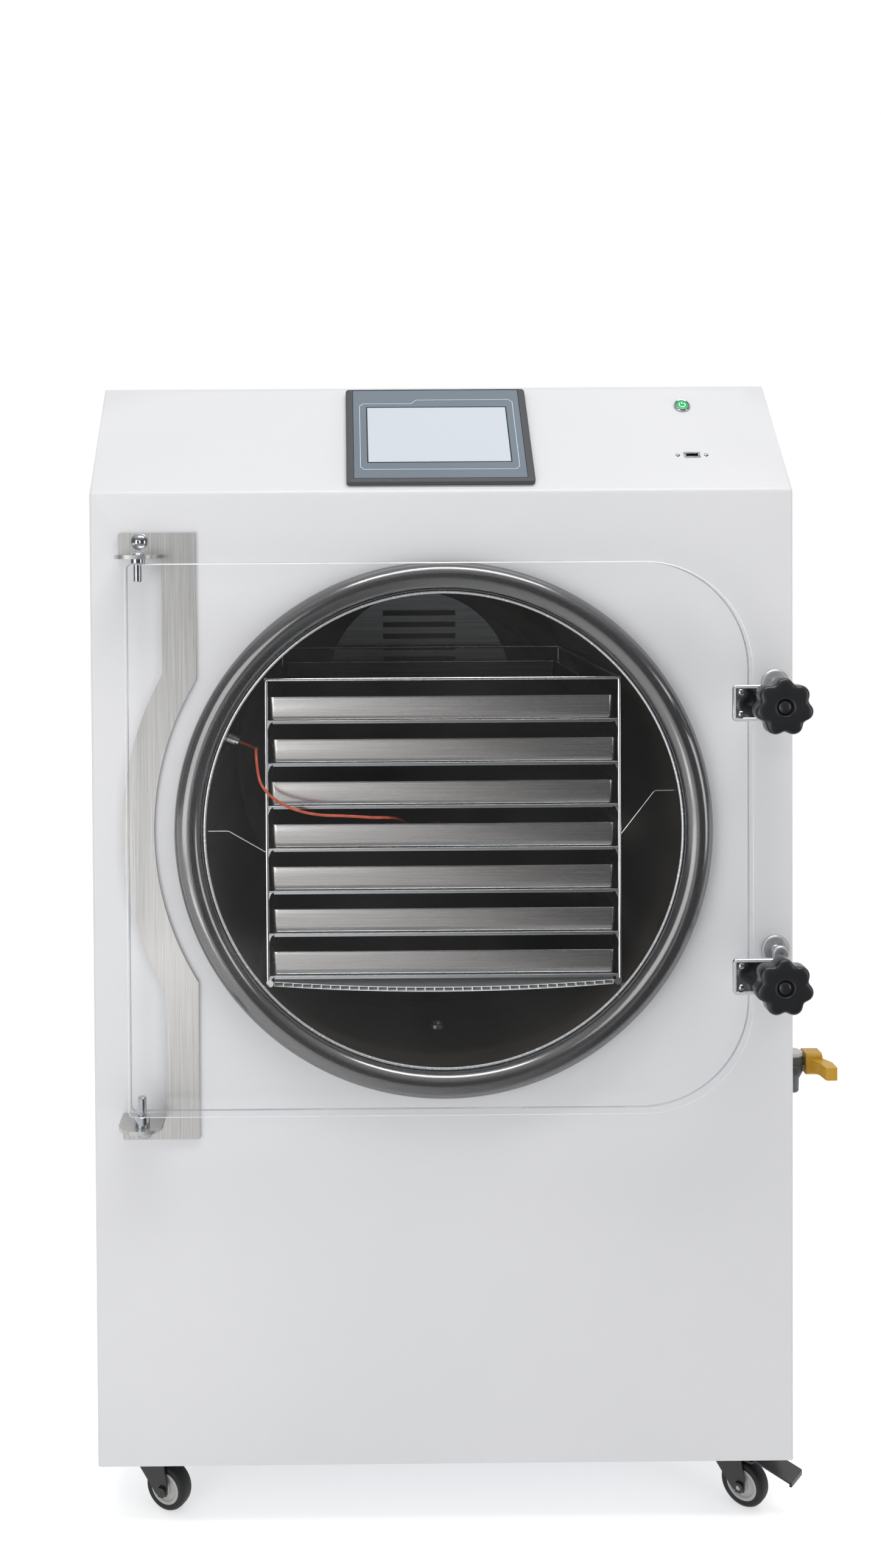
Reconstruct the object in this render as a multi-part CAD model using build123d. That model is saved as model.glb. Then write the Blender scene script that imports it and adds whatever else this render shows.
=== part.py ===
"""Freeze dryer: a wheeled sheet-steel cabinet with a round vacuum chamber, a clear door and a tray rack.

Millimetres. +X is to the right of a person facing the machine, +Y runs back into it and +Z is up.
Every sub-part is drawn with X = 0 on the cabinet's centre line, Y = 0 on its front face and Z = 0 on
the floor, and `settle` then moves it so that the origin lies under the middle of the whole machine.
"""
import os
from math import asin, cos, hypot, pi, radians, sin, sqrt, tan

from build123d import *

# ---- driving dimensions -------------------------------------------------------------------------
fit_gap = 0.1           # radial clearance of a turning or sliding fit
rest_gap = 0.3          # gap between a moving piece and what it closes on

# cabinet
cabinet_width = 750.0
cabinet_depth = 800.0
cabinet_floor = 75.0    # underside of the cabinet above the floor
front_height = 1046.0   # upright part of the front
console_rise = 121.0
console_run = 112.0
sheet = 2.0             # cabinet sheet thickness
return_depth = 25.0     # how far the front wraps round on to the sides
bend_radius = 4.0
tube = 25.0             # square tube of the cabinet frame
panel_flange = 14.0
fold_radius = 8.0       # where the front turns into the console
cradle_front = 215.0
cradle_inset = 80.0     # rear cradle in front of the chamber's domed back
cradle_drop = 60.0      # cradle beam below the insulation
cradle_half_width = 210.0
cradle_thickness = 10.0

# louvres and the back sheet's openings
louvre_length = 160.0
louvre_height = 5.0
louvre_proud = 3.2
louvre_count = 8
louvre_pitch = 22.0
louvre_up = 120.0       # lowest side louvre above the cabinet floor
louvre_inset = 150.0    # side louvres' back end in front of the cabinet back
rear_louvre_length = 140.0
rear_louvre_count = 7
rear_louvre_drop = 330.0
rear_louvre_side = 195.0
fan_radius = 100.0
fan_x = -170.0
fan_z = 255.0
fan_depth = 38.0
fan_strut = 4.0
fan_hub_radius = 26.0
fan_spindle_radius = 3.0
fan_blades = 5
fan_pitch = 24.0        # blade angle, in degrees
inlet_x = 210.0
inlet_z = 190.0
inlet_width = 28.0
inlet_height = 22.0
port_tube_radius = 14.0
port_reach = 30.0       # vacuum port behind the back panel

# chamber
chamber_height = 761.0  # chamber axis above the floor
chamber_radius = 252.0
chamber_depth = 470.0
chamber_wall = 3.0
chamber_dish = 30.0
lip_length = 14.0       # drum edge in front of the cabinet face
drum_flange_width = 42.0
drum_flange_thickness = 4.0
seal_width = 31.0
seal_height = 24.7
coil_width = 9.0        # flattened evaporator tube, along the drum
coil_height = 8.0
coil_rings = 5
coil_first = 40.0       # first ring behind the cabinet face
coil_inset = 40.0       # last ring in front of the chamber's domed back
header_radius = 4.5
jacket_thickness = 30.0
baffle_rise = 110.0     # baffle's middle above the chamber axis
baffle_wall_gap = 17.0
baffle_margin = 20.0
baffle_thickness = 2.0
baffle_band = 100.0     # width of the slotted band down its middle
baffle_slot = 7.0
baffle_pitch = 16.0
baffle_stud = 4.0

# door
door_left = -332.0
door_right = 320.0
door_bottom = 470.0
door_top = 1047.0
door_thickness = 20.0
door_small_radius = 6.0
door_large_radius = 115.0
door_bevel = 1.0

# hinge
strap_inner_edge = -262.0
strap_width = 36.0
strap_top = 1079.0
strap_bottom = 431.0
strap_thickness = 4.5
strap_arc_gap = 22.0    # between the seal and the strap's arc
strap_arc_width = 34.0
ear_width = 46.0
ear_height = 27.0
tab_reach = 50.0
tab_thickness = 4.0
tab_corner = 20.0
hinge_inset = 13.0      # hinge axis inside the door's left edge
hinge_pin_radius = 4.5
hinge_pin_depth = 19.0
washer_radius = 8.0
dome_radius = 9.0

# latches
latch_overhang = 19.5   # latch axis beyond the door's right edge
latch_heights = (899.0, 614.0)
plate_length = 55.0
plate_height = 38.0
plate_thickness = 4.0
plate_overlap = 23.0    # how far the plate lies on the door
plate_rim = 2.5
plate_corner = 4.0
plate_screw_inset = 9.0
plate_screw_spread = 11.5
knob_radius = 30.0
knob_valley = 25.5
knob_lobes = 7
knob_thickness = 20.0
knob_front = 90.0       # front of the knob in front of the cabinet face
knob_hub_radius = 13.0
knob_dish_radius = 8.5
knob_dish_depth = 5.0
knob_bore = 22.0
knob_edge = 2.0
spindle_radius = 5.0
cam_thickness = 4.0
cam_front = 17.0
keeper_reach = 22.0     # keeper post from the latch axis
keeper_angle = 45.0
keeper_base_radius = 15.0
keeper_post_radius = 4.5
keeper_head_radius = 9.0

# rack and trays
rack_side_gap = 62.0    # between the rack and the drum, level with its axis
rack_head_gap = 89.0    # between the rack and the drum, above its axis
rack_front = -5.0
rack_back_gap = 35.0    # between the rack and the domed back's rim
rack_rod = 4.0
rail_radius = 4.0
shelf_count = 7
shelf_floor_gap = 8.0   # lowest shelf above the runners' middle
shelf_thickness = 1.5
shelf_lip = 3.5
shelf_hem_inset = 5.0
gusset = 4.7            # welded gusset under each shelf corner
gusset_thickness = 3.0
stay_radius = 0.8       # spring stays between the rack and the drum
stay_ends = ((-1, 761.0, 738.0), (1, 801.0, 754.0))     # side, height at the drum, height at the rack
tray_side_gap = 2.0
tray_front_gap = 4.0
tray_back_gap = 11.0
tray_height = 25.0
tray_wall = 1.0
tray_draft = 1.5        # how far each wall leans out from floor to rim
tray_shifts = (-1.5, 1.4, -1.2, 0.4, -0.6, 0.8, 0.0)
drip_thickness = 5.0
drip_bow = 7.0
drip_drop = 1.5         # sheet's ends below the runners' middle
drip_flutes = 36
drip_wall = 0.8         # skins of the twin-wall sheet
drip_web = 1.2

# sensor cable
gland_depth = 65.0
gland_angle = 21.2
gland_length = 14.0
gland_stem_radius = 5.0
gland_nut_radius = 8.0
cable_radius = 1.5
probe_radius = 2.0
probe_length = 40.0

# console fittings
screen_width = 202.0
screen_height = 148.0
screen_above_fold = 9.0
screen_proud = 6.0
screen_housing_depth = 34.0
screen_side_bar = 8.0
screen_lower_bar = 6.0
screen_upper_bar = 2.0
glass_set = 3.0
button_x = 277.0
button_up = 132.0
button_radius = 9.25
button_proud = 3.0
button_travel = 2.0
cap_radius = 7.2
usb_x = 275.7
usb_up = 53.5
usb_width = 16.7
usb_height = 7.0
usb_screw_spread = 15.5
usb_screw_radius = 2.6
usb_screw_shank = 1.2

# drain
drain_depth = 122.0     # drain hole behind the cabinet face
drain_radius = 7.0
drain_boss_radius = 9.5
drain_wall = 1.5
valve_depth = 60.0
valve_height = 482.0
valve_offset = 16.0     # valve body axis beyond the cabinet side
valve_radius = 12.0
valve_top = 498.0
valve_waist = 477.0
valve_bottom = 453.0
outlet_radius = 8.0
lever_reach = 38.0
stem_rise = 4.0         # valve stem above the inlet's axis
stem_radius = 4.0
stem_length = 4.5
collar_length = 3.0
lever_hub = 18.0
lever_half = 11.0

# casters
caster_side = 320.0     # swivel axis from the centre line
caster_front = 55.0     # front swivel axis behind the cabinet face
caster_back = 60.0      # rear swivel axis in front of the cabinet back
wheel_radius = 25.0
wheel_width = 20.0
wheel_trail = 18.0
fork_thickness = 2.5
fork_clearance = 2.0
swivel_low = 62.0       # underside of the swivel race
axle_radius = 3.0
hub_radius = 17.5
race_radius = 21.0
kingpin_radius = 5.0
caster_plate_length = 62.0
caster_plate_width = 56.0
caster_plate_thickness = 3.0
caster_angles = {"front_left": -27.0, "front_right": -40.0, "rear_left": 118.0, "rear_right": 64.0}
braked_caster = "front_right"
pedal_pivot_x = 11.0
pedal_pivot_z = 54.5
pedal_pin_radius = 2.5
pedal_start = 38.0
pedal_tip = 78.0
pedal_high = 62.0
pedal_low = 54.0
pedal_width = 30.0
pedal_lip = 5.0

# machinery behind the sheets
compressor_place = (-150.0, 330.0)
compressor_radius = 104.0
compressor_height = 232.0
condenser_inset = 120.0
condenser_width = 260.0
condenser_height = 360.0
condenser_thickness = 44.0
condenser_fins = 13
condenser_passes = 4
control_width = 210.0
control_height = 220.0
control_depth = 226.0
control_gap = 34.0      # electrics box in front of the back sheet

# ---- places that follow from them ---------------------------------------------------------------
half_width = cabinet_width / 2
fold_z = cabinet_floor + front_height
top_z = fold_z + console_rise
console_length = hypot(console_run, console_rise)
console_plane = Plane(
    origin=(0, 0, fold_z),
    x_dir=(1, 0, 0),
    z_dir=(0, -console_rise / console_length, console_run / console_length),
)
drum_radius = chamber_radius + chamber_wall
seal_radius = drum_radius + seal_width
cradle_depths = (cradle_front, chamber_depth - cradle_inset)
coil_last = chamber_depth - coil_inset
baffle_radius = chamber_radius - baffle_rise - baffle_wall_gap
baffle_slots = int(2 * (baffle_radius - baffle_margin) / baffle_pitch)
rack_width = 2 * (chamber_radius - rack_side_gap)
rack_depth = chamber_depth - rack_back_gap - rack_front
rack_top = chamber_height + chamber_radius - rack_head_gap
hinge_x = door_left + hinge_inset
door_back = -seal_height - rest_gap
hinge_y = door_back - door_thickness / 2
door_front = door_back - door_thickness
plate_front = door_front - plate_thickness
latch_x = door_right + latch_overhang
rail_x = rack_width / 2 - rail_radius
rail_z = chamber_height - sqrt((chamber_radius - rail_radius - rest_gap) ** 2 - rail_x**2)
shelf_pitch = round((rack_top - rail_z - shelf_floor_gap) / shelf_count, 1)
shelf_tops = [rack_top - shelf_pitch * (k + 1) for k in range(shelf_count)]
tray_width = rack_width - 2 * rack_rod - 2 * tray_side_gap
tray_depth = rack_depth - tray_front_gap - tray_back_gap
valve_x = half_width + valve_offset
lever_tip = half_width + 55.0
stem_height = valve_height + stem_rise
stem_face = valve_x + valve_radius + stem_length
coil_inner = drum_radius + fit_gap
jacket_radius = coil_inner + coil_height + rest_gap + jacket_thickness
tab_upper = strap_top - ear_height
tab_lower = strap_bottom + ear_height
ear_screw_heights = (strap_top - 9.5, strap_bottom + 9.5)
fork_half = wheel_width / 2 + fork_clearance
condenser_front = cabinet_depth - sheet - condenser_inset

# ---- small helpers ------------------------------------------------------------------------------
parts = {}


def block(x0, x1, y0, y1, z0, z1):
    """A box between two opposite corners."""
    return Pos((x0 + x1) / 2, (y0 + y1) / 2, (z0 + z1) / 2) * Box(x1 - x0, y1 - y0, z1 - z0)


def rod(start, end, radius):
    """A round bar from one point to another."""
    run = Vector(end) - Vector(start)
    plane = Plane(origin=start, z_dir=run)
    return extrude(plane * Circle(radius), run.length)


def turned(*outline):
    """A closed outline of (radius, height) points, turned about the upright axis."""
    return revolve(Plane.XZ * make_face(Polyline(*outline, close=True)), Axis.Z)


def facing_back(shape, x, y, z):
    """Lays a shape drawn along +Z down so that it points to the back, at a place."""
    return Pos(x, y, z) * Rot(X=-90) * shape


def facing_front(shape, x, y, z):
    """Lays a shape drawn along +Z down so that it points to the front, at a place."""
    return Pos(x, y, z) * Rot(X=90) * shape


def side_profile(points, x0, x1):
    """A (depth, height) outline carried across the machine."""
    face = Plane.YZ * make_face(Polyline(*points, close=True))
    return Pos(x0, 0, 0) * extrude(face, x1 - x0)


def front_plate(sketch, y_back, thickness):
    """A sketch seen from the front, thickened towards the viewer from a depth."""
    return Pos(0, y_back, 0) * extrude(Plane.XZ * sketch, thickness)


def dome_screw(radius, height, shank_radius, shank_length):
    """A domed screw head standing on its seat at height 0, with its shank below."""
    return turned(
        (0, height), (radius * 0.5, height * 0.9), (radius * 0.85, height * 0.5), (radius, 0),
        (shank_radius, 0), (shank_radius, -shank_length), (0, -shank_length),
    )


def group(*solids):
    """Several separate solids in one node."""
    return Compound(children=[s for shape in solids for s in shape.solids()])


# ---- cabinet ------------------------------------------------------------------------------------
def console_band(inset, front, back):
    """Outline of the front and console, set in from the outer face, as deep as the side returns."""
    slope_y = inset * console_rise / console_length
    slope_z = inset * console_run / console_length
    steep = console_rise / console_run
    fold = fold_z - slope_z + (inset - slope_y) * steep
    crest = console_run + (slope_y - inset / steep) + (slope_z / steep)
    low = cabinet_floor + inset
    high = top_z - inset
    return [(front, low), (front, fold), (crest, high), (console_run + back, high), (back, fold), (back, low)]


def front_panel():
    """One folded sheet: upright front, sloped console, side returns and cut-outs."""
    shell = side_profile(console_band(0, 0, return_depth), -half_width, half_width)
    across = [e for e in shell.edges().filter_by(Axis.X) if on_front(e.center(), 0.1)]
    shell = fillet([e for e in across if abs(e.center().Z - fold_z) < 1], fold_radius)
    sides = [e for e in shell.edges() if abs(abs(e.center().X) - half_width) < 0.01]
    bends = [e for e in sides if e.length > bend_radius and on_front(e.center(), bend_radius)]
    shell = fillet(bends, bend_radius)
    inner = console_band(sheet, sheet, return_depth + 5)
    shell -= side_profile(inner, -half_width + sheet, half_width - sheet)
    shell -= facing_back(Cylinder(drum_radius + 0.5, 4 * sheet), 0, 0, chamber_height)
    shell -= console_cut(screen_width - 16, screen_height - 16, 0, screen_above_fold + screen_height / 2)
    shell -= console_plane * Pos(button_x, button_up, 0) * Cylinder(button_radius - 1.5, 4 * sheet)
    shell -= console_cut(usb_width - 2, usb_height - 1, usb_x, usb_up)
    for x in usb_screw_places():
        shell -= console_plane * Pos(x, usb_up, 0) * Cylinder(usb_screw_shank + fit_gap, 4 * sheet)
    return shell


def usb_screw_places():
    """Place across the console of each screw beside the socket."""
    return [usb_x + side * usb_screw_spread for side in (-1, 1)]


def on_front(point, reach):
    """True where a point lies on the upright front or on the console's slope, to within a reach."""
    slope = max(point.Z - fold_z, 0) * console_run / console_rise
    return abs(point.Y - slope) < reach and point.Y < console_run - 1


def console_cut(width, height, x, up):
    """A square hole through the console at a place on its slope."""
    return console_plane * Pos(x, up, 0) * Box(width, height, 4 * sheet)


def louvre_hood(length):
    """A pressed louvre standing off the ground plane along +Y, with its slot's foot at the origin."""
    h, p, t = louvre_height + 3, louvre_proud, sheet / 2
    outline = [(0, h), (p, h - p), (p, 1), (p - t, 1), (p - t, h - p - t / 2), (0, h - 1.5 * t)]
    return extrude(Plane.XZ * make_face(Polyline(*outline, close=True)), -length)


def side_panel(side):
    """A flat side sheet with a flange turned in all round and cooling louvres low down."""
    outer = [
        (return_depth, cabinet_floor),
        (return_depth, fold_z),
        (console_run + return_depth, top_z - sheet),
        (cabinet_depth - sheet, top_z - sheet),
        (cabinet_depth - sheet, cabinet_floor),
    ]
    x_face = side * half_width
    x_in = side * (half_width - panel_flange)
    x_skin = side * (half_width - sheet)
    panel = side_profile(outer, min(x_face, x_in), max(x_face, x_in))
    inner = [
        (return_depth + sheet, cabinet_floor + sheet),
        (return_depth + sheet, fold_z),
        (console_run + return_depth + sheet, top_z - 2 * sheet),
        (cabinet_depth - 2 * sheet, top_z - 2 * sheet),
        (cabinet_depth - 2 * sheet, cabinet_floor + sheet),
    ]
    x_open = side * (half_width - panel_flange - 1)
    panel -= side_profile(inner, min(x_skin, x_open), max(x_skin, x_open))
    y1 = cabinet_depth - louvre_inset
    y0 = y1 - louvre_length
    for k in range(louvre_count):
        z = cabinet_floor + louvre_up + k * louvre_pitch
        panel -= block(x_face - 4 * sheet, x_face + 4 * sheet, y0, y1, z, z + louvre_height)
        hood = louvre_hood(louvre_length)
        panel += Pos(x_face, y0, z) * (hood if side > 0 else mirror(hood, Plane.YZ))
    if side > 0:
        hole = rod((x_in, valve_depth, valve_height), (x_face, valve_depth, valve_height), drain_radius)
        panel -= hole
    return panel


def top_cover():
    """Flat lid sheet behind the console, with its back flange turned down."""
    front = console_run + return_depth
    return block(-half_width, half_width, front, cabinet_depth, top_z - sheet, top_z)


def rear_panel():
    """Back sheet with the fan opening, the vacuum port's hole and the mains inlet's cut-out."""
    y0 = cabinet_depth - sheet
    panel = block(-half_width, half_width, y0, cabinet_depth, cabinet_floor, top_z - sheet)
    panel -= facing_back(Cylinder(fan_radius + 4, 40), fan_x, cabinet_depth, fan_z)
    panel -= facing_back(Cylinder(port_tube_radius + 0.5, 40), 0, cabinet_depth, chamber_height)
    panel -= Pos(inlet_x, cabinet_depth, inlet_z) * Box(inlet_width, 10 * sheet, inlet_height)
    half = rear_louvre_length / 2
    for column in (-rear_louvre_side, rear_louvre_side):
        for k in range(rear_louvre_count):
            z = top_z - rear_louvre_drop + k * louvre_pitch
            panel -= Pos(column, cabinet_depth, z + louvre_height / 2) * Box(2 * half, 4 * sheet, louvre_height)
            panel += Pos(column + half, cabinet_depth, z) * Rot(Z=90) * louvre_hood(rear_louvre_length)
    return panel


def base_tray():
    """Floor sheet of the cabinet, between the front, side and back sheets."""
    inset = panel_flange
    return block(
        -half_width + inset, half_width - inset, return_depth + sheet, cabinet_depth - 2 * sheet,
        cabinet_floor, cabinet_floor + sheet,
    )


def cabinet_frame():
    """Welded square-tube frame on the floor sheet, with two cradles for the chamber."""
    x1 = half_width - panel_flange
    y0 = return_depth + sheet
    y1 = cabinet_depth - 2 * sheet
    z0 = cabinet_floor + sheet
    z1 = top_z - 2 * sheet
    slope_y = console_run + return_depth + sheet
    frame = block(-x1, x1, y0, y0 + tube, z0, z0 + tube) + block(-x1, x1, y1 - tube, y1, z0, z0 + tube)
    frame += block(-x1, x1, slope_y + tube, slope_y + 2 * tube, z1 - tube, z1)
    frame += block(-x1, x1, y1 - tube, y1, z1 - tube, z1)
    for side in (-1, 1):
        xa, xb = sorted((side * x1, side * (x1 - tube)))
        frame += block(xa, xb, y0, y1, z0, z0 + tube)
        frame += block(xa, xb, y0, y0 + tube, z0, fold_z - tube)
        frame += block(xa, xb, y0, slope_y + 2 * tube, fold_z - 2 * tube, fold_z - tube)
        frame += block(xa, xb, slope_y + tube, slope_y + 2 * tube, fold_z - 2 * tube, z1)
        frame += block(xa, xb, y1 - tube, y1, z0, z1)
        frame += block(xa, xb, slope_y + tube, y1, z1 - tube, z1)
    jacket = facing_back(Cylinder(jacket_radius, 3 * chamber_depth), 0, 0, chamber_height)
    for y in cradle_depths:
        low = chamber_height - jacket_radius - cradle_drop
        frame += block(-x1, x1, y, y + tube, low, low + tube)
        plate_y = y + (tube - cradle_thickness) / 2
        cradle_top = chamber_height - sqrt(jacket_radius**2 - cradle_half_width**2)
        half = cradle_half_width
        frame += block(-half, half, plate_y, plate_y + cradle_thickness, low + tube, cradle_top) - jacket
        for side in (-1, 1):
            xa, xb = sorted((side * x1, side * (x1 - tube)))
            frame += block(xa, xb, y, y + tube, z0 + tube, low + tube)
    return frame


# ---- chamber ------------------------------------------------------------------------------------
def dish(radius, depth, bulge):
    """Arc of the chamber's domed back, from its rim to the axis."""
    ball = (radius**2 + bulge**2) / (2 * bulge)
    half = asin(radius / ball) / 2
    middle = (ball * sin(half), depth + bulge - ball * (1 - cos(half)))
    return ThreePointArc((radius, depth), middle, (0, depth + bulge))


def chamber_drum():
    """Stainless drum: lip in front of the cabinet, flange behind its sheet, domed back."""
    r, w = chamber_radius, chamber_wall
    outer = drum_radius
    inside = dish(r, chamber_depth, chamber_dish)
    outside = dish(outer, chamber_depth, chamber_dish + w)
    flange_back = sheet + drum_flange_thickness
    front = Polyline(
        (r, chamber_depth), (r, -lip_length), (outer, -lip_length), (outer, sheet),
        (outer + drum_flange_width, sheet), (outer + drum_flange_width, flange_back),
        (outer, flange_back), (outer, chamber_depth),
    )
    close = Line((0, chamber_depth + chamber_dish), (0, chamber_depth + chamber_dish + w))
    face = make_face([inside, front, outside, close])
    drum = facing_back(revolve(Plane.XZ * face, Axis.Z), 0, 0, chamber_height)
    floor = chamber_height - r
    drum -= rod((0, drain_depth, floor - 2 * w), (0, drain_depth, floor + 10), drain_boss_radius)
    port = chamber_depth + chamber_dish
    drum -= rod((0, port - 10, chamber_height), (0, port + 10, chamber_height), port_tube_radius)
    gland = gland_point(chamber_radius - 5)
    drum -= rod(gland, gland_point(drum_radius + 5), gland_stem_radius)
    return drum


def door_seal():
    """Moulded black ring seal round the drum's lip, a full half-round in section."""
    inner = drum_radius
    width = seal_radius - inner
    round_radius = width / 2
    straight = seal_height - round_radius
    arc = ThreePointArc(
        (inner, -straight), (inner + round_radius, -seal_height), (seal_radius, -straight)
    )
    sides = Polyline((seal_radius, -straight), (seal_radius, 0), (inner, 0), (inner, -straight))
    return facing_back(revolve(Plane.XZ * make_face([arc, sides]), Axis.Z), 0, 0, chamber_height)


def coil_depths():
    """Depth of each evaporator ring; one that would meet the drain boss goes behind it."""
    clear = coil_width / 2 + drain_boss_radius + 1
    even = [coil_first + (coil_last - coil_first) * k / (coil_rings - 1) for k in range(coil_rings)]
    return [drain_depth + clear if abs(depth - drain_depth) < clear else depth for depth in even]


def evaporator_coil():
    """Flattened copper rings round the drum, joined by a feed and a return header on top."""
    half, edge = coil_width / 2, coil_height - 2
    coil = None
    for depth in coil_depths():
        low, shoulder, high = coil_inner, coil_inner + edge, coil_inner + coil_height
        section = turned(
            (low, -half), (shoulder, -half), (high, -half + 2), (high, half - 2), (shoulder, half), (low, half)
        )
        ring = facing_back(section, 0, depth, chamber_height)
        coil = ring if coil is None else coil + ring
    for angle in (-6, 6):
        reach = coil_inner + coil_height + header_radius - 1
        x = reach * sin(radians(angle))
        z = chamber_height + reach * cos(radians(angle))
        coil += rod((x, coil_first - half, z), (x, chamber_depth + 40, z), header_radius)
    return coil


def insulation_jacket():
    """Foam sleeve round the cooled drum, with a channel for the headers, the gland and the drain."""
    inner = coil_inner + coil_height + rest_gap
    start = sheet + drum_flange_thickness
    sleeve = turned((inner, start), (jacket_radius, start), (jacket_radius, chamber_depth), (inner, chamber_depth))
    sleeve = facing_back(sleeve, 0, 0, chamber_height)
    low = chamber_height - jacket_radius
    free = drain_radius + 2
    sleeve -= block(-free, half_width, drain_depth - free, drain_depth + free, low - 5, chamber_height - inner + 5)
    high = chamber_height + inner
    sleeve -= block(-40, 40, coil_first - coil_width, chamber_depth + 5, high - 10, high + 2 * header_radius + 2)
    sleeve -= rod(gland_point(chamber_radius), gland_point(jacket_radius + 5), gland_stem_radius + 2)
    return sleeve


def dish_depth(reach):
    """Depth of the domed back's inner face at a distance from the chamber axis."""
    ball = (chamber_radius**2 + chamber_dish**2) / (2 * chamber_dish)
    return chamber_depth + chamber_dish - (ball - sqrt(ball**2 - reach**2))


def vapour_baffle():
    """Round plate on three studs in front of the domed back, slotted down its middle."""
    front = chamber_depth - 6
    plate = Circle(baffle_radius)
    slot = Rectangle(baffle_band, baffle_slot)
    middle = (baffle_slots - 1) / 2
    for k in range(baffle_slots):
        plate -= Pos(0, (k - middle) * baffle_pitch) * slot
    height = chamber_height + baffle_rise
    baffle = Pos(0, 0, height) * front_plate(plate, front + baffle_thickness, baffle_thickness)
    for angle in (90, 210, 330):
        x = (baffle_radius - 2 * baffle_stud) * cos(radians(angle))
        z = height + (baffle_radius - 2 * baffle_stud) * sin(radians(angle))
        back = dish_depth(hypot(x, z - chamber_height) + baffle_stud)
        baffle += rod((x, front + baffle_thickness / 2, z), (x, back, z), baffle_stud)
    return baffle


def gland_point(radius):
    """A point on the cable gland's axis, which points from the drum's left wall to its middle."""
    a = radians(gland_angle)
    return (-radius * cos(a), gland_depth, chamber_height + radius * sin(a))


def cable_gland():
    """Compression gland that brings the sensor cable through the drum wall."""
    inside = chamber_radius - 0.4
    gland = rod(gland_point(inside), gland_point(chamber_radius - gland_length + 4), gland_nut_radius)
    gland += rod(gland_point(inside), gland_point(chamber_radius - gland_length), gland_nut_radius - 2)
    gland += rod(gland_point(inside), gland_point(jacket_radius), gland_stem_radius)
    return gland


def drain_pipe():
    """Drain boss welded into the drum's floor and the pipe from it to the valve on the right side."""
    floor = chamber_height - chamber_radius
    top = floor - chamber_wall - 3
    foot = valve_height
    bend_x = half_width - 50
    path = Polyline(
        (0, drain_depth, top), (0, drain_depth, foot), (bend_x, drain_depth, foot),
        (bend_x, valve_depth, foot), (half_width, valve_depth, foot),
    )
    start = Plane(origin=(0, drain_depth, top), z_dir=(0, 0, -1))
    bore = drain_radius - drain_wall
    pipe = sweep(start * Circle(drain_radius), path=path, transition=Transition.RIGHT)
    pipe -= sweep(start * Circle(bore), path=path, transition=Transition.RIGHT)
    high = floor + 2.6
    edge = drain_boss_radius - 0.8
    boss = turned((bore, top), (drain_boss_radius, top), (drain_boss_radius, high - 0.8), (edge, high), (bore, high))
    return pipe + Pos(0, drain_depth, 0) * boss


# ---- rack, trays and what lies in the chamber -----------------------------------------------------
def rack_frame():
    """Welded rod rack: four uprights on two bottom runners, top rails, shelf gussets and two spring stays."""
    x = rack_width / 2 - rack_rod / 2
    half = rack_rod / 2
    y0 = rack_front
    y1 = rack_front + rack_depth
    frame = None
    for side in (-1, 1):
        rail = rod((side * rail_x, y0, rail_z), (side * rail_x, y1, rail_z), rail_radius)
        rail += block(side * x - half, side * x + half, y0, y1, rack_top - rack_rod, rack_top)
        for y in (y0, y1 - rack_rod):
            rail += block(side * x - half, side * x + half, y, y + rack_rod, rail_z, rack_top)
        frame = rail if frame is None else frame + rail
    for y in (y0, y1 - rack_rod):
        frame += block(-x, x, y, y + rack_rod, rack_top - rack_rod, rack_top)
    corner = rack_width / 2 - rack_rod
    for low in [top - shelf_thickness for top in shelf_tops]:
        for side in (-1, 1):
            a, b = side * corner, side * (corner - gusset)
            face = Plane.XZ * make_face(Polyline((a, low), (b, low), (a, low - 1.6 * gusset), close=True))
            for y in (y0 + gusset_thickness, y1):
                frame += Pos(0, y, 0) * extrude(face, gusset_thickness)
    for side, high, low in stay_ends:
        wall = sqrt((chamber_radius - rest_gap) ** 2 - (high - chamber_height) ** 2) - stay_radius
        knee = (side * (wall - 22), y0 + 2, high)
        frame += rod((side * wall, y0 + 2, high), knee, stay_radius) + Pos(*knee) * Sphere(stay_radius)
        frame += rod(knee, (side * x, y0 + 2, low), stay_radius)
    return frame


def rack_shelves():
    """Thin shelf plates between the uprights, each with its front and back edge hemmed down."""
    inner = rack_width / 2 - rack_rod
    shelves = []
    for top in shelf_tops:
        y0 = rack_front
        y1 = rack_front + rack_depth
        low = top - shelf_thickness
        hem = inner - shelf_hem_inset
        shelf = block(-inner, inner, y0, y1, low, top)
        shelf += block(-hem, hem, y0, y0 + shelf_thickness, top - shelf_lip, low)
        shelf += block(-hem, hem, y1 - shelf_thickness, y1, top - shelf_lip, low)
        shelves.append(shelf)
    return group(*shelves)


def tray(index):
    """Shallow pressed pan with leaning walls and rounded corners, open on top."""
    y_mid = rack_front + tray_front_gap + tray_depth / 2
    base = shelf_tops[index]
    corner = 6.0

    def pan(shrink, low, high):
        lower = RectangleRounded(
            tray_width - 2 * tray_draft - 2 * shrink, tray_depth - 2 * tray_draft - 2 * shrink, corner
        )
        upper = RectangleRounded(tray_width - 2 * shrink, tray_depth - 2 * shrink, corner)
        return loft([Pos(0, 0, low) * lower, Pos(0, 0, high) * upper])

    body = pan(0, 0, tray_height) - pan(tray_wall, tray_wall, tray_height)
    return Pos(tray_shifts[index], y_mid, base) * body


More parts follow.
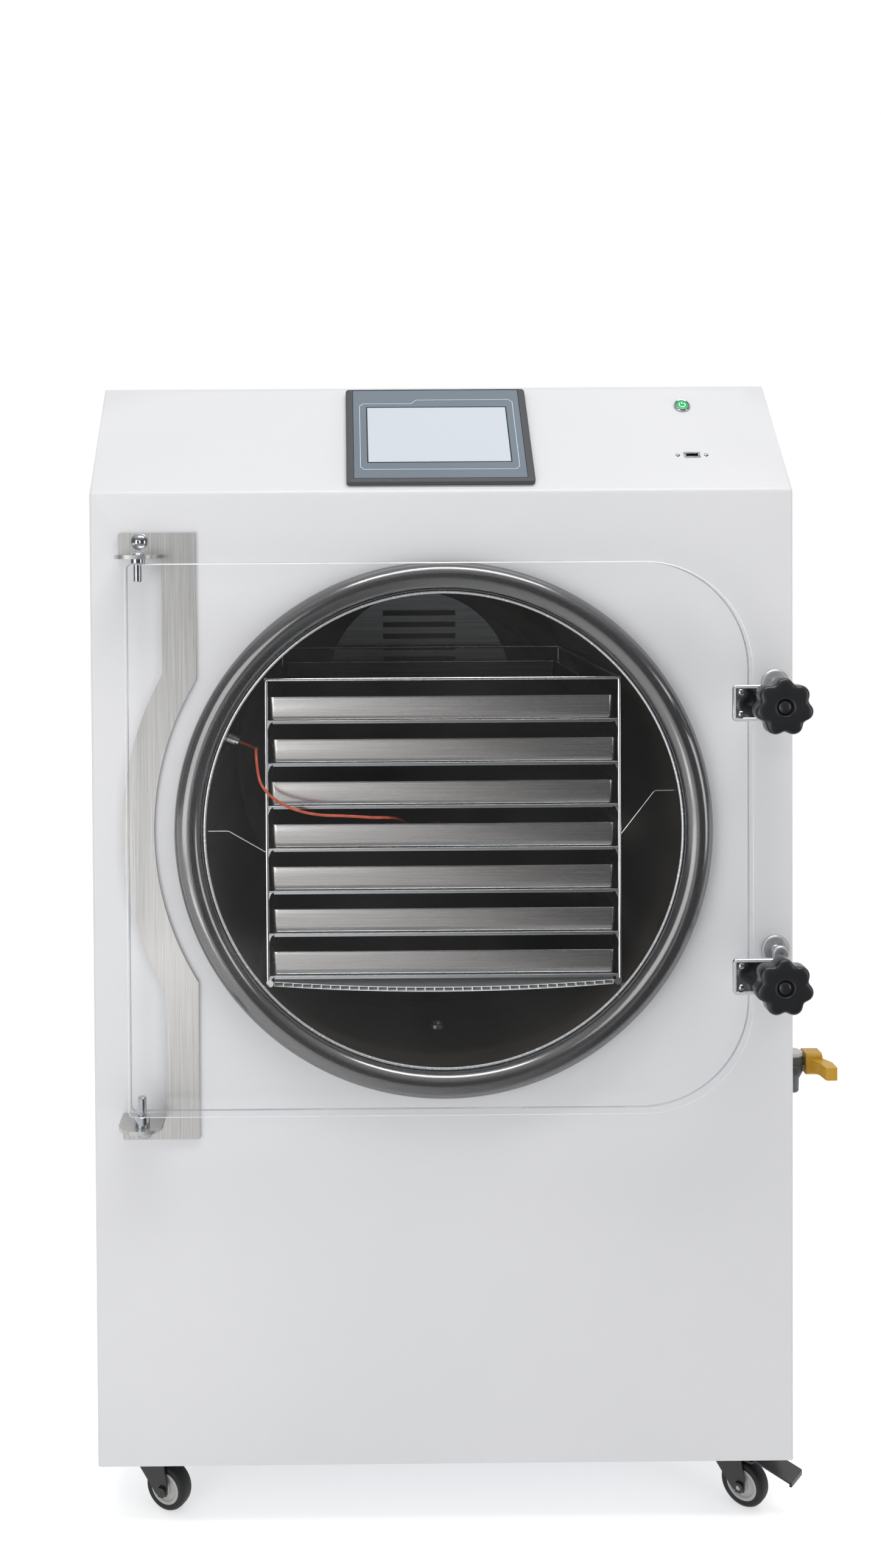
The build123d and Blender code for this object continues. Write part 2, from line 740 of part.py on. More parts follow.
def drip_sheet():
    """Twin-wall plastic sheet sprung in a shallow bow between the rack's runners."""
    half = rail_x - rail_radius - rest_gap
    ends_z = rail_z - drip_drop
    t = drip_thickness

    def arc(drop):
        return ThreePointArc((-half, ends_z - drop), (0, ends_z - drip_bow - drop), (half, ends_z - drop))

    top, low = arc(-t / 2), arc(t / 2)
    ends = [Line(top @ 0, low @ 0), Line(top @ 1, low @ 1)]
    section = make_face([top, low, *ends])
    pitch = 2 * half / drip_flutes
    for k in range(drip_flutes):
        x = -half + (k + 0.5) * pitch
        sag = drip_bow * (1 - (x / half) ** 2)
        section -= Pos(x, ends_z - sag) * Rectangle(pitch - drip_web, t - 2 * drip_wall)
    return front_plate(section, rack_front + rack_depth - 4, rack_depth - 8)


cable_end = (-14.0, 83.0, 745.4)
cable_points = [
    gland_point(chamber_radius - gland_length),
    gland_point(chamber_radius - gland_length - 12),
    (-204.5, 57.5, 840.6),
    (-200.5, 41.0, 841.1),
    (-199.5, 22.0, 845.6),
    (-199.5, 3.5, 847.6),
    (-198.5, -10.0, 840.6),
    (-197.0, -15.0, 827.1),
    (-194.0, -15.5, 813.3),
    (-185.5, -15.5, 801.6),
    (-173.5, -15.0, 792.6),
    (-159.0, -14.5, 785.6),
    (-143.0, -14.0, 781.1),
    (-126.5, -13.5, 778.8),
    (-109.0, -13.5, 778.4),
    (-91.0, -13.0, 777.2),
    (-74.0, -10.0, 775.4),
    (-61.0, -2.0, 774.0),
    (-51.0, 10.5, 771.0),
    (-42.5, 25.0, 765.0),
    (-34.5, 40.5, 756.3),
    (-27.5, 55.0, 748.8),
    (-20.5, 69.5, 745.4),
    cable_end,
]


def cable_radii():
    """Bend radius at each inner point: as large as the two runs beside it allow."""
    points = [Vector(p) for p in cable_points]
    radii = []
    for before, here, after in zip(points, points[1:], points[2:]):
        run_in, run_out = here - before, after - here
        turn = radians(run_in.get_angle(run_out))
        radii.append(0.45 * min(run_in.length, run_out.length) / tan(turn / 2))
    return radii


def sensor_cable():
    """Red-brown silicone cable from the gland, round the rack's front and into the fourth tray."""
    path = FilletPolyline(*cable_points, radius=cable_radii())
    start = Plane(origin=cable_points[0], z_dir=Vector(cable_points[1]) - Vector(cable_points[0]))
    return sweep(start * Circle(cable_radius), path=path)


def sensor_probe():
    """Steel sheath on the cable's end, lying on the tray floor."""
    run = (Vector(cable_end) - Vector(cable_points[-2])).normalized()
    tip = Vector(cable_end) + run * probe_length
    return rod(cable_end, tuple(tip), probe_radius)


# ---- hinge --------------------------------------------------------------------------------------
def hinge_strap():
    """One stainless strap: upright bars, an arc round the seal, and an ear with a tab at each end."""
    arc_inner = seal_radius + strap_arc_gap
    arc_outer = arc_inner + strap_arc_width
    left = strap_inner_edge - strap_width
    middle = (strap_top + strap_bottom) / 2
    bar = Pos(left + strap_width / 2, middle) * Rectangle(strap_width, strap_top - strap_bottom)
    at_axis = Pos(0, chamber_height)
    band = at_axis * (Circle(arc_outer) - Circle(arc_inner))
    reach = arc_outer + 10 + strap_inner_edge
    band &= Pos(strap_inner_edge - reach / 2, chamber_height) * Rectangle(reach, 2 * arc_outer)
    plate = (bar - at_axis * Circle(arc_inner)) + band
    ear_x = left - ear_width / 2
    for z in (strap_top - ear_height / 2, strap_bottom + ear_height / 2):
        plate += Pos(ear_x, z) * Rectangle(ear_width, ear_height)
    strap = front_plate(plate, 0, strap_thickness)
    outer = [e for e in strap.edges().filter_by(Axis.Y) if e.center().X < left + 1]
    reach = (strap_top - strap_bottom) / 2 - ear_height - 1
    strap = fillet([e for e in outer if abs(e.center().Z - middle) > reach], 3)
    for z in (tab_upper, tab_lower - tab_thickness):
        outline = Pos(ear_x, -tab_reach / 2) * Rectangle(ear_width, tab_reach)
        tab = extrude(Plane.XY * outline, tab_thickness)
        front = [e for e in tab.edges().filter_by(Axis.Z) if e.center().Y < -tab_reach + 1]
        tab = fillet(front, tab_corner)
        strap += Pos(0, 0, z) * tab
    for z in (tab_upper, tab_lower):
        strap -= Pos(hinge_x, hinge_y, z) * Cylinder(hinge_pin_radius, 4 * tab_thickness)
    for z in ear_screw_heights:
        strap -= facing_back(Cylinder(3, 20), hinge_x - 2, 0, z)
    return strap


def hinge_pins():
    """Upper and lower hinge pin, each with a domed head on its tab and a spacer washer."""
    pins = []
    for way, tab, edge in ((1, tab_upper, door_top), (-1, tab_lower, door_bottom)):
        outer = abs(tab + way * tab_thickness - edge)
        length = hinge_pin_depth + outer
        pin = dome_screw(washer_radius - 1, 3.5, hinge_pin_radius, length)
        space = abs(tab - edge) - rest_gap
        collar = Pos(0, 0, -tab_thickness - space / 2) * (Cylinder(washer_radius, space))
        pin = pin + collar
        turn = Rot(X=0) if way > 0 else Rot(X=180)
        pins.append(Pos(hinge_x, hinge_y, tab + way * tab_thickness) * turn * pin)
    return group(*pins)


def door_pane():
    """Thick clear acrylic door with its two hinge bores and four screw holes."""
    width = door_right - door_left
    height = door_top - door_bottom
    x_mid = (door_left + door_right) / 2
    z_mid = (door_top + door_bottom) / 2
    outline = Pos(x_mid, z_mid) * Rectangle(width, height)
    right = [v for v in outline.vertices() if v.X > x_mid]
    left = [v for v in outline.vertices() if v.X < x_mid]
    outline = fillet(right, door_large_radius)
    left = [v for v in outline.vertices() if v.X < door_left + 1]
    outline = fillet(left, door_small_radius)
    pane = front_plate(outline, door_back, door_thickness)
    rims = pane.faces().filter_by(Axis.Y)
    pane = chamfer(rims.edges(), door_bevel)
    bore = hinge_pin_depth + 1
    for z in (door_top - bore / 2, door_bottom + bore / 2):
        pane -= Pos(hinge_x, hinge_y, z) * Cylinder(hinge_pin_radius + fit_gap, bore)
    for x, z in plate_screw_places():
        pane -= facing_back(Cylinder(2, 30), x, door_front, z)
    return pane


# ---- latches ------------------------------------------------------------------------------------
def plate_screw_places():
    """Centre of each screw that holds a latch plate to the door."""
    x = door_right - plate_overlap + plate_screw_inset
    return [(x, z + s * plate_screw_spread) for z in latch_heights for s in (-1, 1)]


def latch_plates():
    """Two polished plates on the door that overhang its edge, each with a raised rim."""
    x0 = door_right - plate_overlap
    plates = []
    for z in latch_heights:
        middle = Pos(x0 + plate_length / 2, z)
        outer = RectangleRounded(plate_length, plate_height, plate_corner)
        plate = front_plate(middle * outer, door_front, plate_thickness)
        inner = RectangleRounded(plate_length - 2 * plate_rim, plate_height - 2 * plate_rim, plate_corner - 1.5)
        plate -= front_plate(middle * inner, plate_front + 1.2, 2)
        plate -= facing_back(Cylinder(spindle_radius + fit_gap, 30), latch_x, door_front, z)
        for x, screw_z in plate_screw_places():
            plate -= facing_back(Cylinder(2, 30), x, door_front, screw_z)
        plates.append(plate)
    return group(*plates)


def latch_plate_screws():
    """Small domed screws of the latch plates."""
    seat = plate_front + 1.2
    return group(*[facing_front(dome_screw(3.4, 1.6, 2, 16), x, seat, z) for x, z in plate_screw_places()])


def star_knob(height):
    """Seven-lobed moulded knob with a dished centre and a hub that stops short of the plate."""
    lobe = (knob_radius - knob_valley) * 1.9
    outline = Circle(knob_valley)
    for k in range(knob_lobes):
        outline += Rot(Z=360 * k / knob_lobes) * Pos(knob_radius - lobe, 0) * Circle(lobe)
    valleys = [v for v in outline.vertices() if hypot(v.X, v.Y) < knob_radius - 1]
    outline = fillet(valleys, lobe / 2)
    hub_length = knob_front + plate_front - knob_thickness - rest_gap
    body = Pos(0, 0, hub_length) * extrude(outline, knob_thickness)
    body = chamfer(body.edges().group_by(Axis.Z)[-1], knob_edge)
    body += Pos(0, 0, hub_length / 2) * Cone(knob_hub_radius, knob_hub_radius + 4, hub_length)
    full = hub_length + knob_thickness
    body -= Pos(0, 0, full - knob_dish_depth / 2) * Cone(knob_dish_radius - 2, knob_dish_radius, knob_dish_depth)
    body -= Pos(0, 0, knob_bore / 2) * Cylinder(spindle_radius, knob_bore)
    return Pos(latch_x, plate_front - rest_gap, height) * Rot(X=90) * Rot(Z=90) * body


def spindle(height):
    """Latch spindle with its hooked cam, which clears the keeper until it is turned."""
    back = -cam_front + cam_thickness
    front = plate_front - rest_gap - knob_bore
    shaft = rod((latch_x, back, height), (latch_x, front, height), spindle_radius)
    neck = keeper_post_radius + 0.5
    arm = Pos(13, -1.5) * Rectangle(36, 15)
    slot = (Circle(keeper_reach + neck) - Circle(keeper_reach - neck)) & (Pos(20, 10) * Rectangle(40, 20))
    arm -= slot + Pos(keeper_reach, 0) * Circle(neck)
    cam = extrude(Rot(Z=keeper_angle - 90) * arm, cam_thickness)
    cam = Pos(latch_x, back, height) * Rot(X=90) * cam
    return shaft + cam


def latch_keepers():
    """Round keeper studs on the cabinet, one beside each latch, that the cams hook behind."""
    keepers = []
    head_start = cam_front + 1.5
    for z in latch_heights:
        base, post, head = keeper_base_radius, keeper_post_radius, keeper_head_radius
        stud = turned(
            (0, 0), (base, 0), (base, 2.5), (base - 2, 4), (post, 4), (post, head_start),
            (head, head_start), (head, head_start + 2.5), (head - 2, head_start + 4), (0, head_start + 4),
        )
        x = latch_x + keeper_reach * cos(radians(keeper_angle))
        keepers.append(facing_front(stud, x, 0, z + keeper_reach * sin(radians(keeper_angle))))
    return group(*keepers)


# ---- console fittings -----------------------------------------------------------------------------
def on_console(shape, x, up):
    """Puts a shape drawn on the ground plane on the console, x across and up its slope."""
    return console_plane * Pos(x, up, 0) * shape


def screen_bezel():
    """Frame of the touch screen with its housing behind the sheet."""
    w, h = screen_width, screen_height
    frame = extrude(RectangleRounded(w, h, 4), screen_proud)
    frame = fillet(frame.edges().group_by(Axis.Z)[-1], 1.2)
    housing = Pos(0, 0, -screen_housing_depth / 2) * Box(w - 16, h - 16, screen_housing_depth)
    frame += housing
    window_up = (screen_lower_bar - screen_upper_bar) / 2
    frame -= Pos(0, window_up, screen_proud) * Box(*screen_window(), 2 * glass_set)
    return on_console(frame, 0, screen_above_fold + h / 2)


def screen_window():
    """Width and height of the glass in the screen's frame."""
    return screen_width - 2 * screen_side_bar, screen_height - screen_lower_bar - screen_upper_bar


def screen_face():
    """Front glass of the touch screen, just below the frame's face."""
    window_up = (screen_lower_bar - screen_upper_bar) / 2
    pane = Pos(0, window_up, screen_proud - glass_set / 2 - 0.2) * Box(*screen_window(), glass_set - 0.4)
    return on_console(pane, 0, screen_above_fold + screen_height / 2)


def power_button_ring():
    """Chrome ring of the power button with its threaded barrel and nut behind the sheet."""
    r = button_radius
    barrel = r - 1.5
    bore = cap_radius + fit_gap
    ring = turned(
        (bore, -20), (barrel, -20), (barrel, -sheet - 4), (r + 1, -sheet - 4), (r + 1, -sheet),
        (barrel, -sheet), (barrel, 0), (r, 0), (r, button_proud - 1), (r - 1, button_proud), (bore, button_proud),
    )
    ring += Pos(0, 0, -21) * Cylinder(barrel, 2)
    return on_console(ring, button_x, button_up)


def power_button_cap():
    """Lit push button that sinks into its ring when pressed."""
    top = button_proud - 0.4
    low = -20 + button_travel + 1.0
    cap = Pos(0, 0, (top + low) / 2) * Cylinder(cap_radius, top - low)
    cap = chamfer(cap.edges().group_by(Axis.Z)[-1], 0.6)
    return on_console(cap, button_x, button_up)


def usb_socket():
    """Panel socket: metal shell with its tongue, flush in the console, and its body behind."""
    w, h = usb_width, usb_height
    flange = extrude(Rectangle(w + 1, h + 1), 0.8)
    shell = flange + Pos(0, 0, -9) * Box(w - 2, h - 1, 18)
    shell -= Pos(0, 0, -5) * Box(w - 4, h - 2.6, 13)
    shell += Pos(0, -0.9, -7) * Box(w - 5, 1.4, 10)
    return on_console(shell, usb_x, usb_up)


def panel_screws():
    """Screws in the cabinet face: two at the hinge ears and two beside the socket."""
    screws = [
        facing_front(dome_screw(dome_radius, 5, 3, strap_thickness), hinge_x - 2, -strap_thickness, z)
        for z in ear_screw_heights
    ]
    small = dome_screw(usb_screw_radius, 1.2, usb_screw_shank, 2 * sheet)
    screws += [on_console(small, x, usb_up) for x in usb_screw_places()]
    return group(*screws)


# ---- drain valve --------------------------------------------------------------------------------
def drain_valve_body():
    """Small ball valve on the right side: round body, hose outlet below, stem to the right."""
    body = turned(
        (0, valve_bottom), (outlet_radius - 1, valve_bottom), (outlet_radius, valve_bottom + 1.5),
        (outlet_radius, valve_bottom + 14), (valve_radius - 1.5, valve_waist - 4), (valve_radius, valve_waist),
        (valve_radius, valve_top - 5), (valve_radius - 0.6, valve_top), (0, valve_top),
    )
    body = Pos(valve_x, valve_depth, 0) * body
    face = (half_width, valve_depth, valve_height)
    body += rod(face, (valve_x, valve_depth, valve_height), drain_radius + 2)
    body += rod(face, (half_width + collar_length, valve_depth, valve_height), drain_radius + 5)
    body += rod((valve_x, valve_depth, stem_height), (stem_face, valve_depth, stem_height), stem_radius)
    return body


def valve_lever():
    """Moulded lever on the valve's stem: a square hub and an arm that steps out and forward."""
    x0 = valve_x + valve_radius + 1.2
    y, z = valve_depth, stem_height
    hub = block(x0, x0 + lever_hub, y - lever_half, y + lever_half, z - lever_half - 1, z + lever_half + 1)
    hub = fillet(hub.edges().filter_by(Axis.X), 4)
    arm_outline = [
        (x0 + 3, y - 8), (x0 + 11, y - 22), (x0 + 13, y - lever_reach), (lever_tip, y - lever_reach),
        (lever_tip, y - 20), (x0 + lever_hub, y - 6),
    ]
    arm = Pos(0, 0, z - 8) * extrude(make_face(Polyline(*arm_outline, close=True)), 14)
    lever = hub + arm
    tips = [e for e in lever.edges().filter_by(Axis.Z) if e.center().Y < y - lever_reach + 1]
    lever = fillet(tips, 2)
    return lever - rod((x0 - 1, y, z), (stem_face + fit_gap, y, z), stem_radius + fit_gap)


# ---- machinery inside -----------------------------------------------------------------------------
def compressor():
    """Hermetic compressor pot on its foot plate."""
    z0 = cabinet_floor + sheet
    r, h = compressor_radius, compressor_height
    foot = Pos(0, 0, 6) * Box(2 * r - 8, 1.6 * r, 12)
    pot = turned(
        (0, 12), (r * 0.88, 12), (r, h * 0.17), (r, h * 0.65), (r * 0.85, h * 0.88), (r * 0.48, h * 0.97), (0, h),
    )
    return Pos(*compressor_place, z0) * (pot + foot)


def condenser():
    """Finned condenser coil between its end plates, in front of the fan."""
    z0 = cabinet_floor + sheet
    x0, x1 = fan_x - condenser_width / 2, fan_x + condenser_width / 2
    y0, y1 = condenser_front, condenser_front + condenser_thickness
    z1 = z0 + condenser_height
    y_mid = (y0 + y1) / 2
    core = block(x0, x0 + 3, y0, y1, z0, z1) + block(x1 - 3, x1, y0, y1, z0, z1)
    for k in range(condenser_fins):
        x = x0 + (k + 1) * condenser_width / (condenser_fins + 1)
        core += block(x - 1, x + 1, y0 + 4, y1 - 4, z0, z1)
    for k in range(condenser_passes):
        z = z0 + (k + 0.5) * condenser_height / condenser_passes
        core += block(x0, x1, y_mid - 5, y_mid + 5, z - 5, z + 5)
    return core


def fan_frame():
    """Square fan housing on the back sheet with its round duct, crossed struts and the spindle."""
    y1 = cabinet_depth - sheet
    half = fan_radius + 12
    frame = block(fan_x - half, fan_x + half, y1 - fan_depth, y1, fan_z - half, fan_z + half)
    frame -= facing_back(Cylinder(fan_radius + 2, 4 * fan_depth), fan_x, y1, fan_z)
    strut = Box(2 * fan_radius + 10, fan_strut, fan_strut)
    for angle in (45, 135):
        frame += Pos(fan_x, y1 - fan_strut / 2, fan_z) * Rot(Y=angle) * strut
    frame += rod((fan_x, y1, fan_z), (fan_x, y1 - fan_strut - 1, fan_z), fan_hub_radius)
    frame += rod((fan_x, y1 - fan_strut, fan_z), (fan_x, y1 - fan_depth + 8, fan_z), fan_spindle_radius)
    return frame


def fan_rotor():
    """Five-bladed rotor that turns on the fan's spindle."""
    back = cabinet_depth - sheet - fan_strut - 2
    front = cabinet_depth - sheet - fan_depth + 4
    hub = rod((0, back, 0), (0, front, 0), fan_hub_radius - 2)
    for k in range(fan_blades):
        blade = Pos(0, 0, fan_radius / 2 + 8) * Box(46, 2, fan_radius - 20)
        blade = Pos(0, (back + front) / 2, 0) * Rot(Z=fan_pitch) * blade
        hub += Rot(Y=360 * k / fan_blades) * blade
    hub -= rod((0, back + 1, 0), (0, front + 3, 0), fan_spindle_radius + fit_gap)
    return Pos(fan_x, 0, fan_z) * hub


def control_box():
    """Electrics box on the floor sheet, with the mains inlet through the back sheet."""
    z0 = cabinet_floor + sheet
    y1 = cabinet_depth - sheet
    half = control_width / 2
    front = y1 - control_gap - control_depth
    box = block(inlet_x - half, inlet_x + half, front, y1 - control_gap, z0, z0 + control_height)
    at_inlet = Pos(inlet_x, 0, inlet_z)
    w, h = inlet_width / 2, inlet_height / 2
    inlet = at_inlet * block(-w, w, y1 - control_gap, cabinet_depth, -h, h)
    inlet += at_inlet * block(-w - 6, w + 6, cabinet_depth, cabinet_depth + 2.5, -h - 4, h + 4)
    inlet -= at_inlet * block(-w + 3, w - 3, cabinet_depth - 14, cabinet_depth + 5, -h + 3, h - 3)
    for x in (-6, 0, 6):
        inlet += at_inlet * block(x - 1, x + 1, cabinet_depth - 14, cabinet_depth - 2, -3, 3)
    return box + inlet


def vacuum_port():
    """Vacuum pipe from the chamber's back to a clamp flange behind the cabinet."""
    y0 = chamber_depth + chamber_dish - 1
    y1 = cabinet_depth + port_reach
    r = port_tube_radius
    bore = r - 1
    pipe = turned(
        (bore, y0), (r, y0), (r, y1 - 12), (r + 6, y1 - 4), (r + 6, y1), (bore, y1),
    )
    return facing_back(pipe, 0, 0, chamber_height)


# ---- casters ------------------------------------------------------------------------------------
def caster_places():
    """Name, swivel place and trail angle of each caster."""
    places = []
    for name, angle in caster_angles.items():
        x = -caster_side if "left" in name else caster_side
        y = caster_front if "front" in name else cabinet_depth - caster_back
        places.append((name, x, y, angle))
    return places


def caster_plates():
    """Top plate and swivel race of each caster, screwed under the cabinet."""
    plates = []
    for name, x, y, angle in caster_places():
        z = cabinet_floor
        under = z - caster_plate_thickness
        plate = extrude(RectangleRounded(caster_plate_length, caster_plate_width, 5), caster_plate_thickness)
        race = Pos(0, 0, swivel_low + rest_gap) * extrude(Circle(race_radius), under - swivel_low - rest_gap)
        kingpin = Pos(0, 0, swivel_low - 6) * extrude(Circle(kingpin_radius), 7)
        plates.append(Pos(x, y, 0) * (Pos(0, 0, under) * plate + race + kingpin))
    return group(*plates)


def at_caster(shape, place):
    """Turns a shape drawn at a swivel axis, trailing to +X, to its caster's place."""
    name, x, y, angle = place
    return Pos(x, y, 0) * Rot(Z=angle) * shape


def caster_fork(place):
    """Pressed fork: crown plate under the race, two tapering cheeks and the wheel axle."""
    crown = Pos(0, 0, swivel_low - fork_thickness) * extrude(
        Pos(-1, 0) * Rectangle(40, 2 * fork_half + 2 * fork_thickness), fork_thickness
    )
    crown -= Pos(0, 0, swivel_low) * Cylinder(kingpin_radius + fit_gap, 20)
    cheek_outline = [
        (-race_radius, swivel_low), (-race_radius, swivel_low - 6), (wheel_trail - 8, wheel_radius - 5),
        (wheel_trail + 5, wheel_radius - 5), (wheel_trail + 6, wheel_radius + 9), (19, swivel_low - 2),
        (19, swivel_low),
    ]
    cheek = Plane.XZ * make_face(Polyline(*cheek_outline, close=True))
    fork = crown
    for side in (-1, 1):
        y = fork_half if side < 0 else -fork_half - fork_thickness
        fork += Pos(0, y + fork_thickness, 0) * extrude(cheek, fork_thickness)
    if place[0] == braked_caster:
        reach = fork_half + 2 * fork_thickness
        pivot = (pedal_pivot_x, pedal_pivot_z)
        fork -= rod((pivot[0], -reach, pivot[1]), (pivot[0], reach, pivot[1]), pedal_pin_radius + fit_gap)
    end = fork_half + fork_thickness
    fork += rod((wheel_trail, -end, wheel_radius), (wheel_trail, end, wheel_radius), axle_radius)
    for side in (-1, 1):
        nut = extrude(RegularPolygon(2 * axle_radius, 6), axle_radius)
        fork += Pos(wheel_trail, side * end, wheel_radius) * Rot(X=-90 * side) * nut
    return at_caster(fork, place)


def caster_wheel(place):
    """Rubber tyre on a plastic hub, as two solids that turn together on the axle."""
    half = wheel_width / 2
    r = wheel_radius
    tyre = turned(
        (hub_radius, -half + 1), (r - 4, -half), (r, -half + 4), (r, half - 4), (r - 4, half),
        (hub_radius, half - 1),
    )
    bore = axle_radius + fit_gap
    boss = axle_radius + 4.5
    hub = turned(
        (bore, -half - 1), (boss, -half - 1), (boss, -half + 3), (hub_radius - 4, -half + 3),
        (hub_radius, -half + 1), (hub_radius, half - 1), (hub_radius - 4, half - 3), (boss, half - 3),
        (boss, half + 1), (bore, half + 1),
    )
    turn = Pos(wheel_trail, 0, wheel_radius) * Rot(X=90)
    return group(at_caster(turn * tyre, place), at_caster(turn * hub, place))


def brake_pedal(place):
    """Foot pedal on a rivet through the fork's cheeks, with its tread out past the wheel."""
    arm_half = fork_half - 1
    x, z = pedal_pivot_x, pedal_pivot_z
    t = fork_thickness
    spine = [
        (x - 4, z - t / 2), (x + 20, z - t / 2), (pedal_start, pedal_high - t), (pedal_tip, pedal_low - t),
        (pedal_tip, pedal_low), (pedal_start, pedal_high), (x + 20, z + t / 2), (x - 4, z + t / 2),
    ]
    plate = Plane.XZ * make_face(Polyline(*spine, close=True))
    arm = Pos(0, arm_half, 0) * extrude(plate, 2 * arm_half)
    wide = Pos(0, pedal_width / 2, 0) * extrude(plate, pedal_width)
    tread = wide & block(pedal_start, pedal_tip, -pedal_width, pedal_width, 0, cabinet_floor)
    lip = Pos(0, pedal_width / 2, 0) * extrude(
        Plane.XZ * Pos(pedal_tip - t / 2, pedal_low - pedal_lip / 2) * Rectangle(t, pedal_lip), pedal_width
    )
    pedal = arm + tread + lip
    corners = [e for e in pedal.edges().filter_by(Axis.Z) if e.center().X > pedal_tip - 1]
    pedal = fillet(corners, fork_thickness * 0.8)
    end = fork_half + fork_thickness
    pedal += rod((x, -end - 1.5, z), (x, end + 1.5, z), pedal_pin_radius)
    for side in (-1, 1):
        pedal += rod((x, side * (end + 0.3), z), (x, side * (end + 2), z), pedal_pin_radius + 1.5)
    return at_caster(pedal, place)


# ---- assembly -----------------------------------------------------------------------------------
def settle(shape):
    """Moves a sub-part so that the origin lies on the floor under the machine's middle."""
    x_mid = (lever_tip - half_width - louvre_proud) / 2
    y_mid = (-knob_front + cabinet_depth + port_reach) / 2
    return Pos(-x_mid, -y_mid, 0) * shape


def build():
    """Every node of the machine by name."""
    nodes = {
        "front_panel": front_panel(),
        "left_side_panel": side_panel(-1),
        "right_side_panel": side_panel(1),
        "top_cover": top_cover(),
        "rear_panel": rear_panel(),
        "base_tray": base_tray(),
        "cabinet_frame": cabinet_frame(),
        "chamber_drum": chamber_drum(),
        "door_seal": door_seal(),
        "evaporator_coil": evaporator_coil(),
        "insulation_jacket": insulation_jacket(),
        "vapour_baffle": vapour_baffle(),
        "cable_gland": cable_gland(),
        "drain_pipe": drain_pipe(),
        "rack_frame": rack_frame(),
        "rack_shelves": rack_shelves(),
        "drip_sheet": drip_sheet(),
        "sensor_cable": sensor_cable(),
        "sensor_probe": sensor_probe(),
        "hinge_strap": hinge_strap(),
        "hinge_pins": hinge_pins(),
        "door_pane": door_pane(),
        "latch_plates": latch_plates(),
        "latch_plate_screws": latch_plate_screws(),
        "latch_keepers": latch_keepers(),
        "screen_bezel": screen_bezel(),
        "screen_face": screen_face(),
        "power_button_ring": power_button_ring(),
        "power_button_cap": power_button_cap(),
        "usb_socket": usb_socket(),
        "panel_screws": panel_screws(),
        "drain_valve_body": drain_valve_body(),
        "valve_lever": valve_lever(),
        "compressor": compressor(),
        "condenser": condenser(),
        "fan_frame": fan_frame(),
        "fan_rotor": fan_rotor(),
        "control_box": control_box(),
        "vacuum_port": vacuum_port(),
        "caster_plates": caster_plates(),
    }
    for index in range(shelf_count):
        nodes[f"tray_{index + 1}"] = tray(index)
    for label, height in zip(("upper", "lower"), latch_heights):
        nodes[f"knob_{label}"] = star_knob(height)
        nodes[f"spindle_{label}"] = spindle(height)
    for place in caster_places():
        nodes[f"caster_fork_{place[0]}"] = caster_fork(place)
        nodes[f"caster_wheel_{place[0]}"] = caster_wheel(place)
        if place[0] == braked_caster:
            nodes["brake_pedal"] = brake_pedal(place)
    return nodes


os.makedirs("parts", exist_ok=True)
for name, shape in build().items():
    export_step(settle(shape), f"parts/{name}.step")
print("cable bend radii, mm:", [round(r, 1) for r in cable_radii()])
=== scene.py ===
import bmesh
import bpy
import numpy as np
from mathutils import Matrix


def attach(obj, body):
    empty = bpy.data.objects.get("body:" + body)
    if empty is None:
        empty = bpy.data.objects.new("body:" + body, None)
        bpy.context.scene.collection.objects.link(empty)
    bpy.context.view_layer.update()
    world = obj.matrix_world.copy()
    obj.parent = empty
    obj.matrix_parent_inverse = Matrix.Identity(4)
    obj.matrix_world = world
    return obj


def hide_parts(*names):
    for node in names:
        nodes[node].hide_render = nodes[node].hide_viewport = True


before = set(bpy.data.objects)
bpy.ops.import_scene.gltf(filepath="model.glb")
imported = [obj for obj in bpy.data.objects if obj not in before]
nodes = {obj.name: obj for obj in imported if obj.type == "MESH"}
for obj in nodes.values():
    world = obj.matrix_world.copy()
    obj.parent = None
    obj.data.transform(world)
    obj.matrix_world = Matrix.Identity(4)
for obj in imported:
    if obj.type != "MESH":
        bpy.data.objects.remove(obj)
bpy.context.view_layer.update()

# ---- Where the machine stands ---------------------------------------------------------------------
# A pale seamless floor in a bright room: a large window on the machine's left, a narrow one on its right,
# a softbox overhead and a low strip, which draw the streaks along its round metal and rubber. The lens
# stands a metre and a half in front of the cabinet, a little left of its middle and above the chamber.


def at(points):
    """Millimetres from the cabinet face's bottom middle (right, back, up) to metres in the shared frame."""
    frame_origin = (25.9, 370.0, 0.0)
    return (np.asarray(points, float) - frame_origin) / 1000


def colour(code):
    """A hex sRGB colour as linear red, green, blue and alpha."""
    part = np.array([int(code[k:k + 2], 16) for k in (1, 3, 5)]) / 255
    line = np.where(part <= 0.04045, part / 12.92, ((part + 0.055) / 1.055) ** 2.4)
    return (*line.tolist(), 1.0)


def add(tree, kind, feeds=None, into=None, **settings):
    """Adds a node with its settings, and links its first output into a socket if one is given.

    Its inputs are fed from numbers, colours, sockets, or other nodes' first outputs.
    """
    node = tree.nodes.new("ShaderNode" + kind)
    for name, value in settings.items():
        setattr(node, name, value)
    for socket, feed in (feeds or {}).items():
        if isinstance(feed, bpy.types.Node):
            feed = feed.outputs[0]
        if isinstance(feed, bpy.types.NodeSocket):
            tree.links.new(feed, node.inputs[socket])
        else:
            node.inputs[socket].default_value = feed
    if into is not None:
        tree.links.new(node.outputs[0], into)
    return node


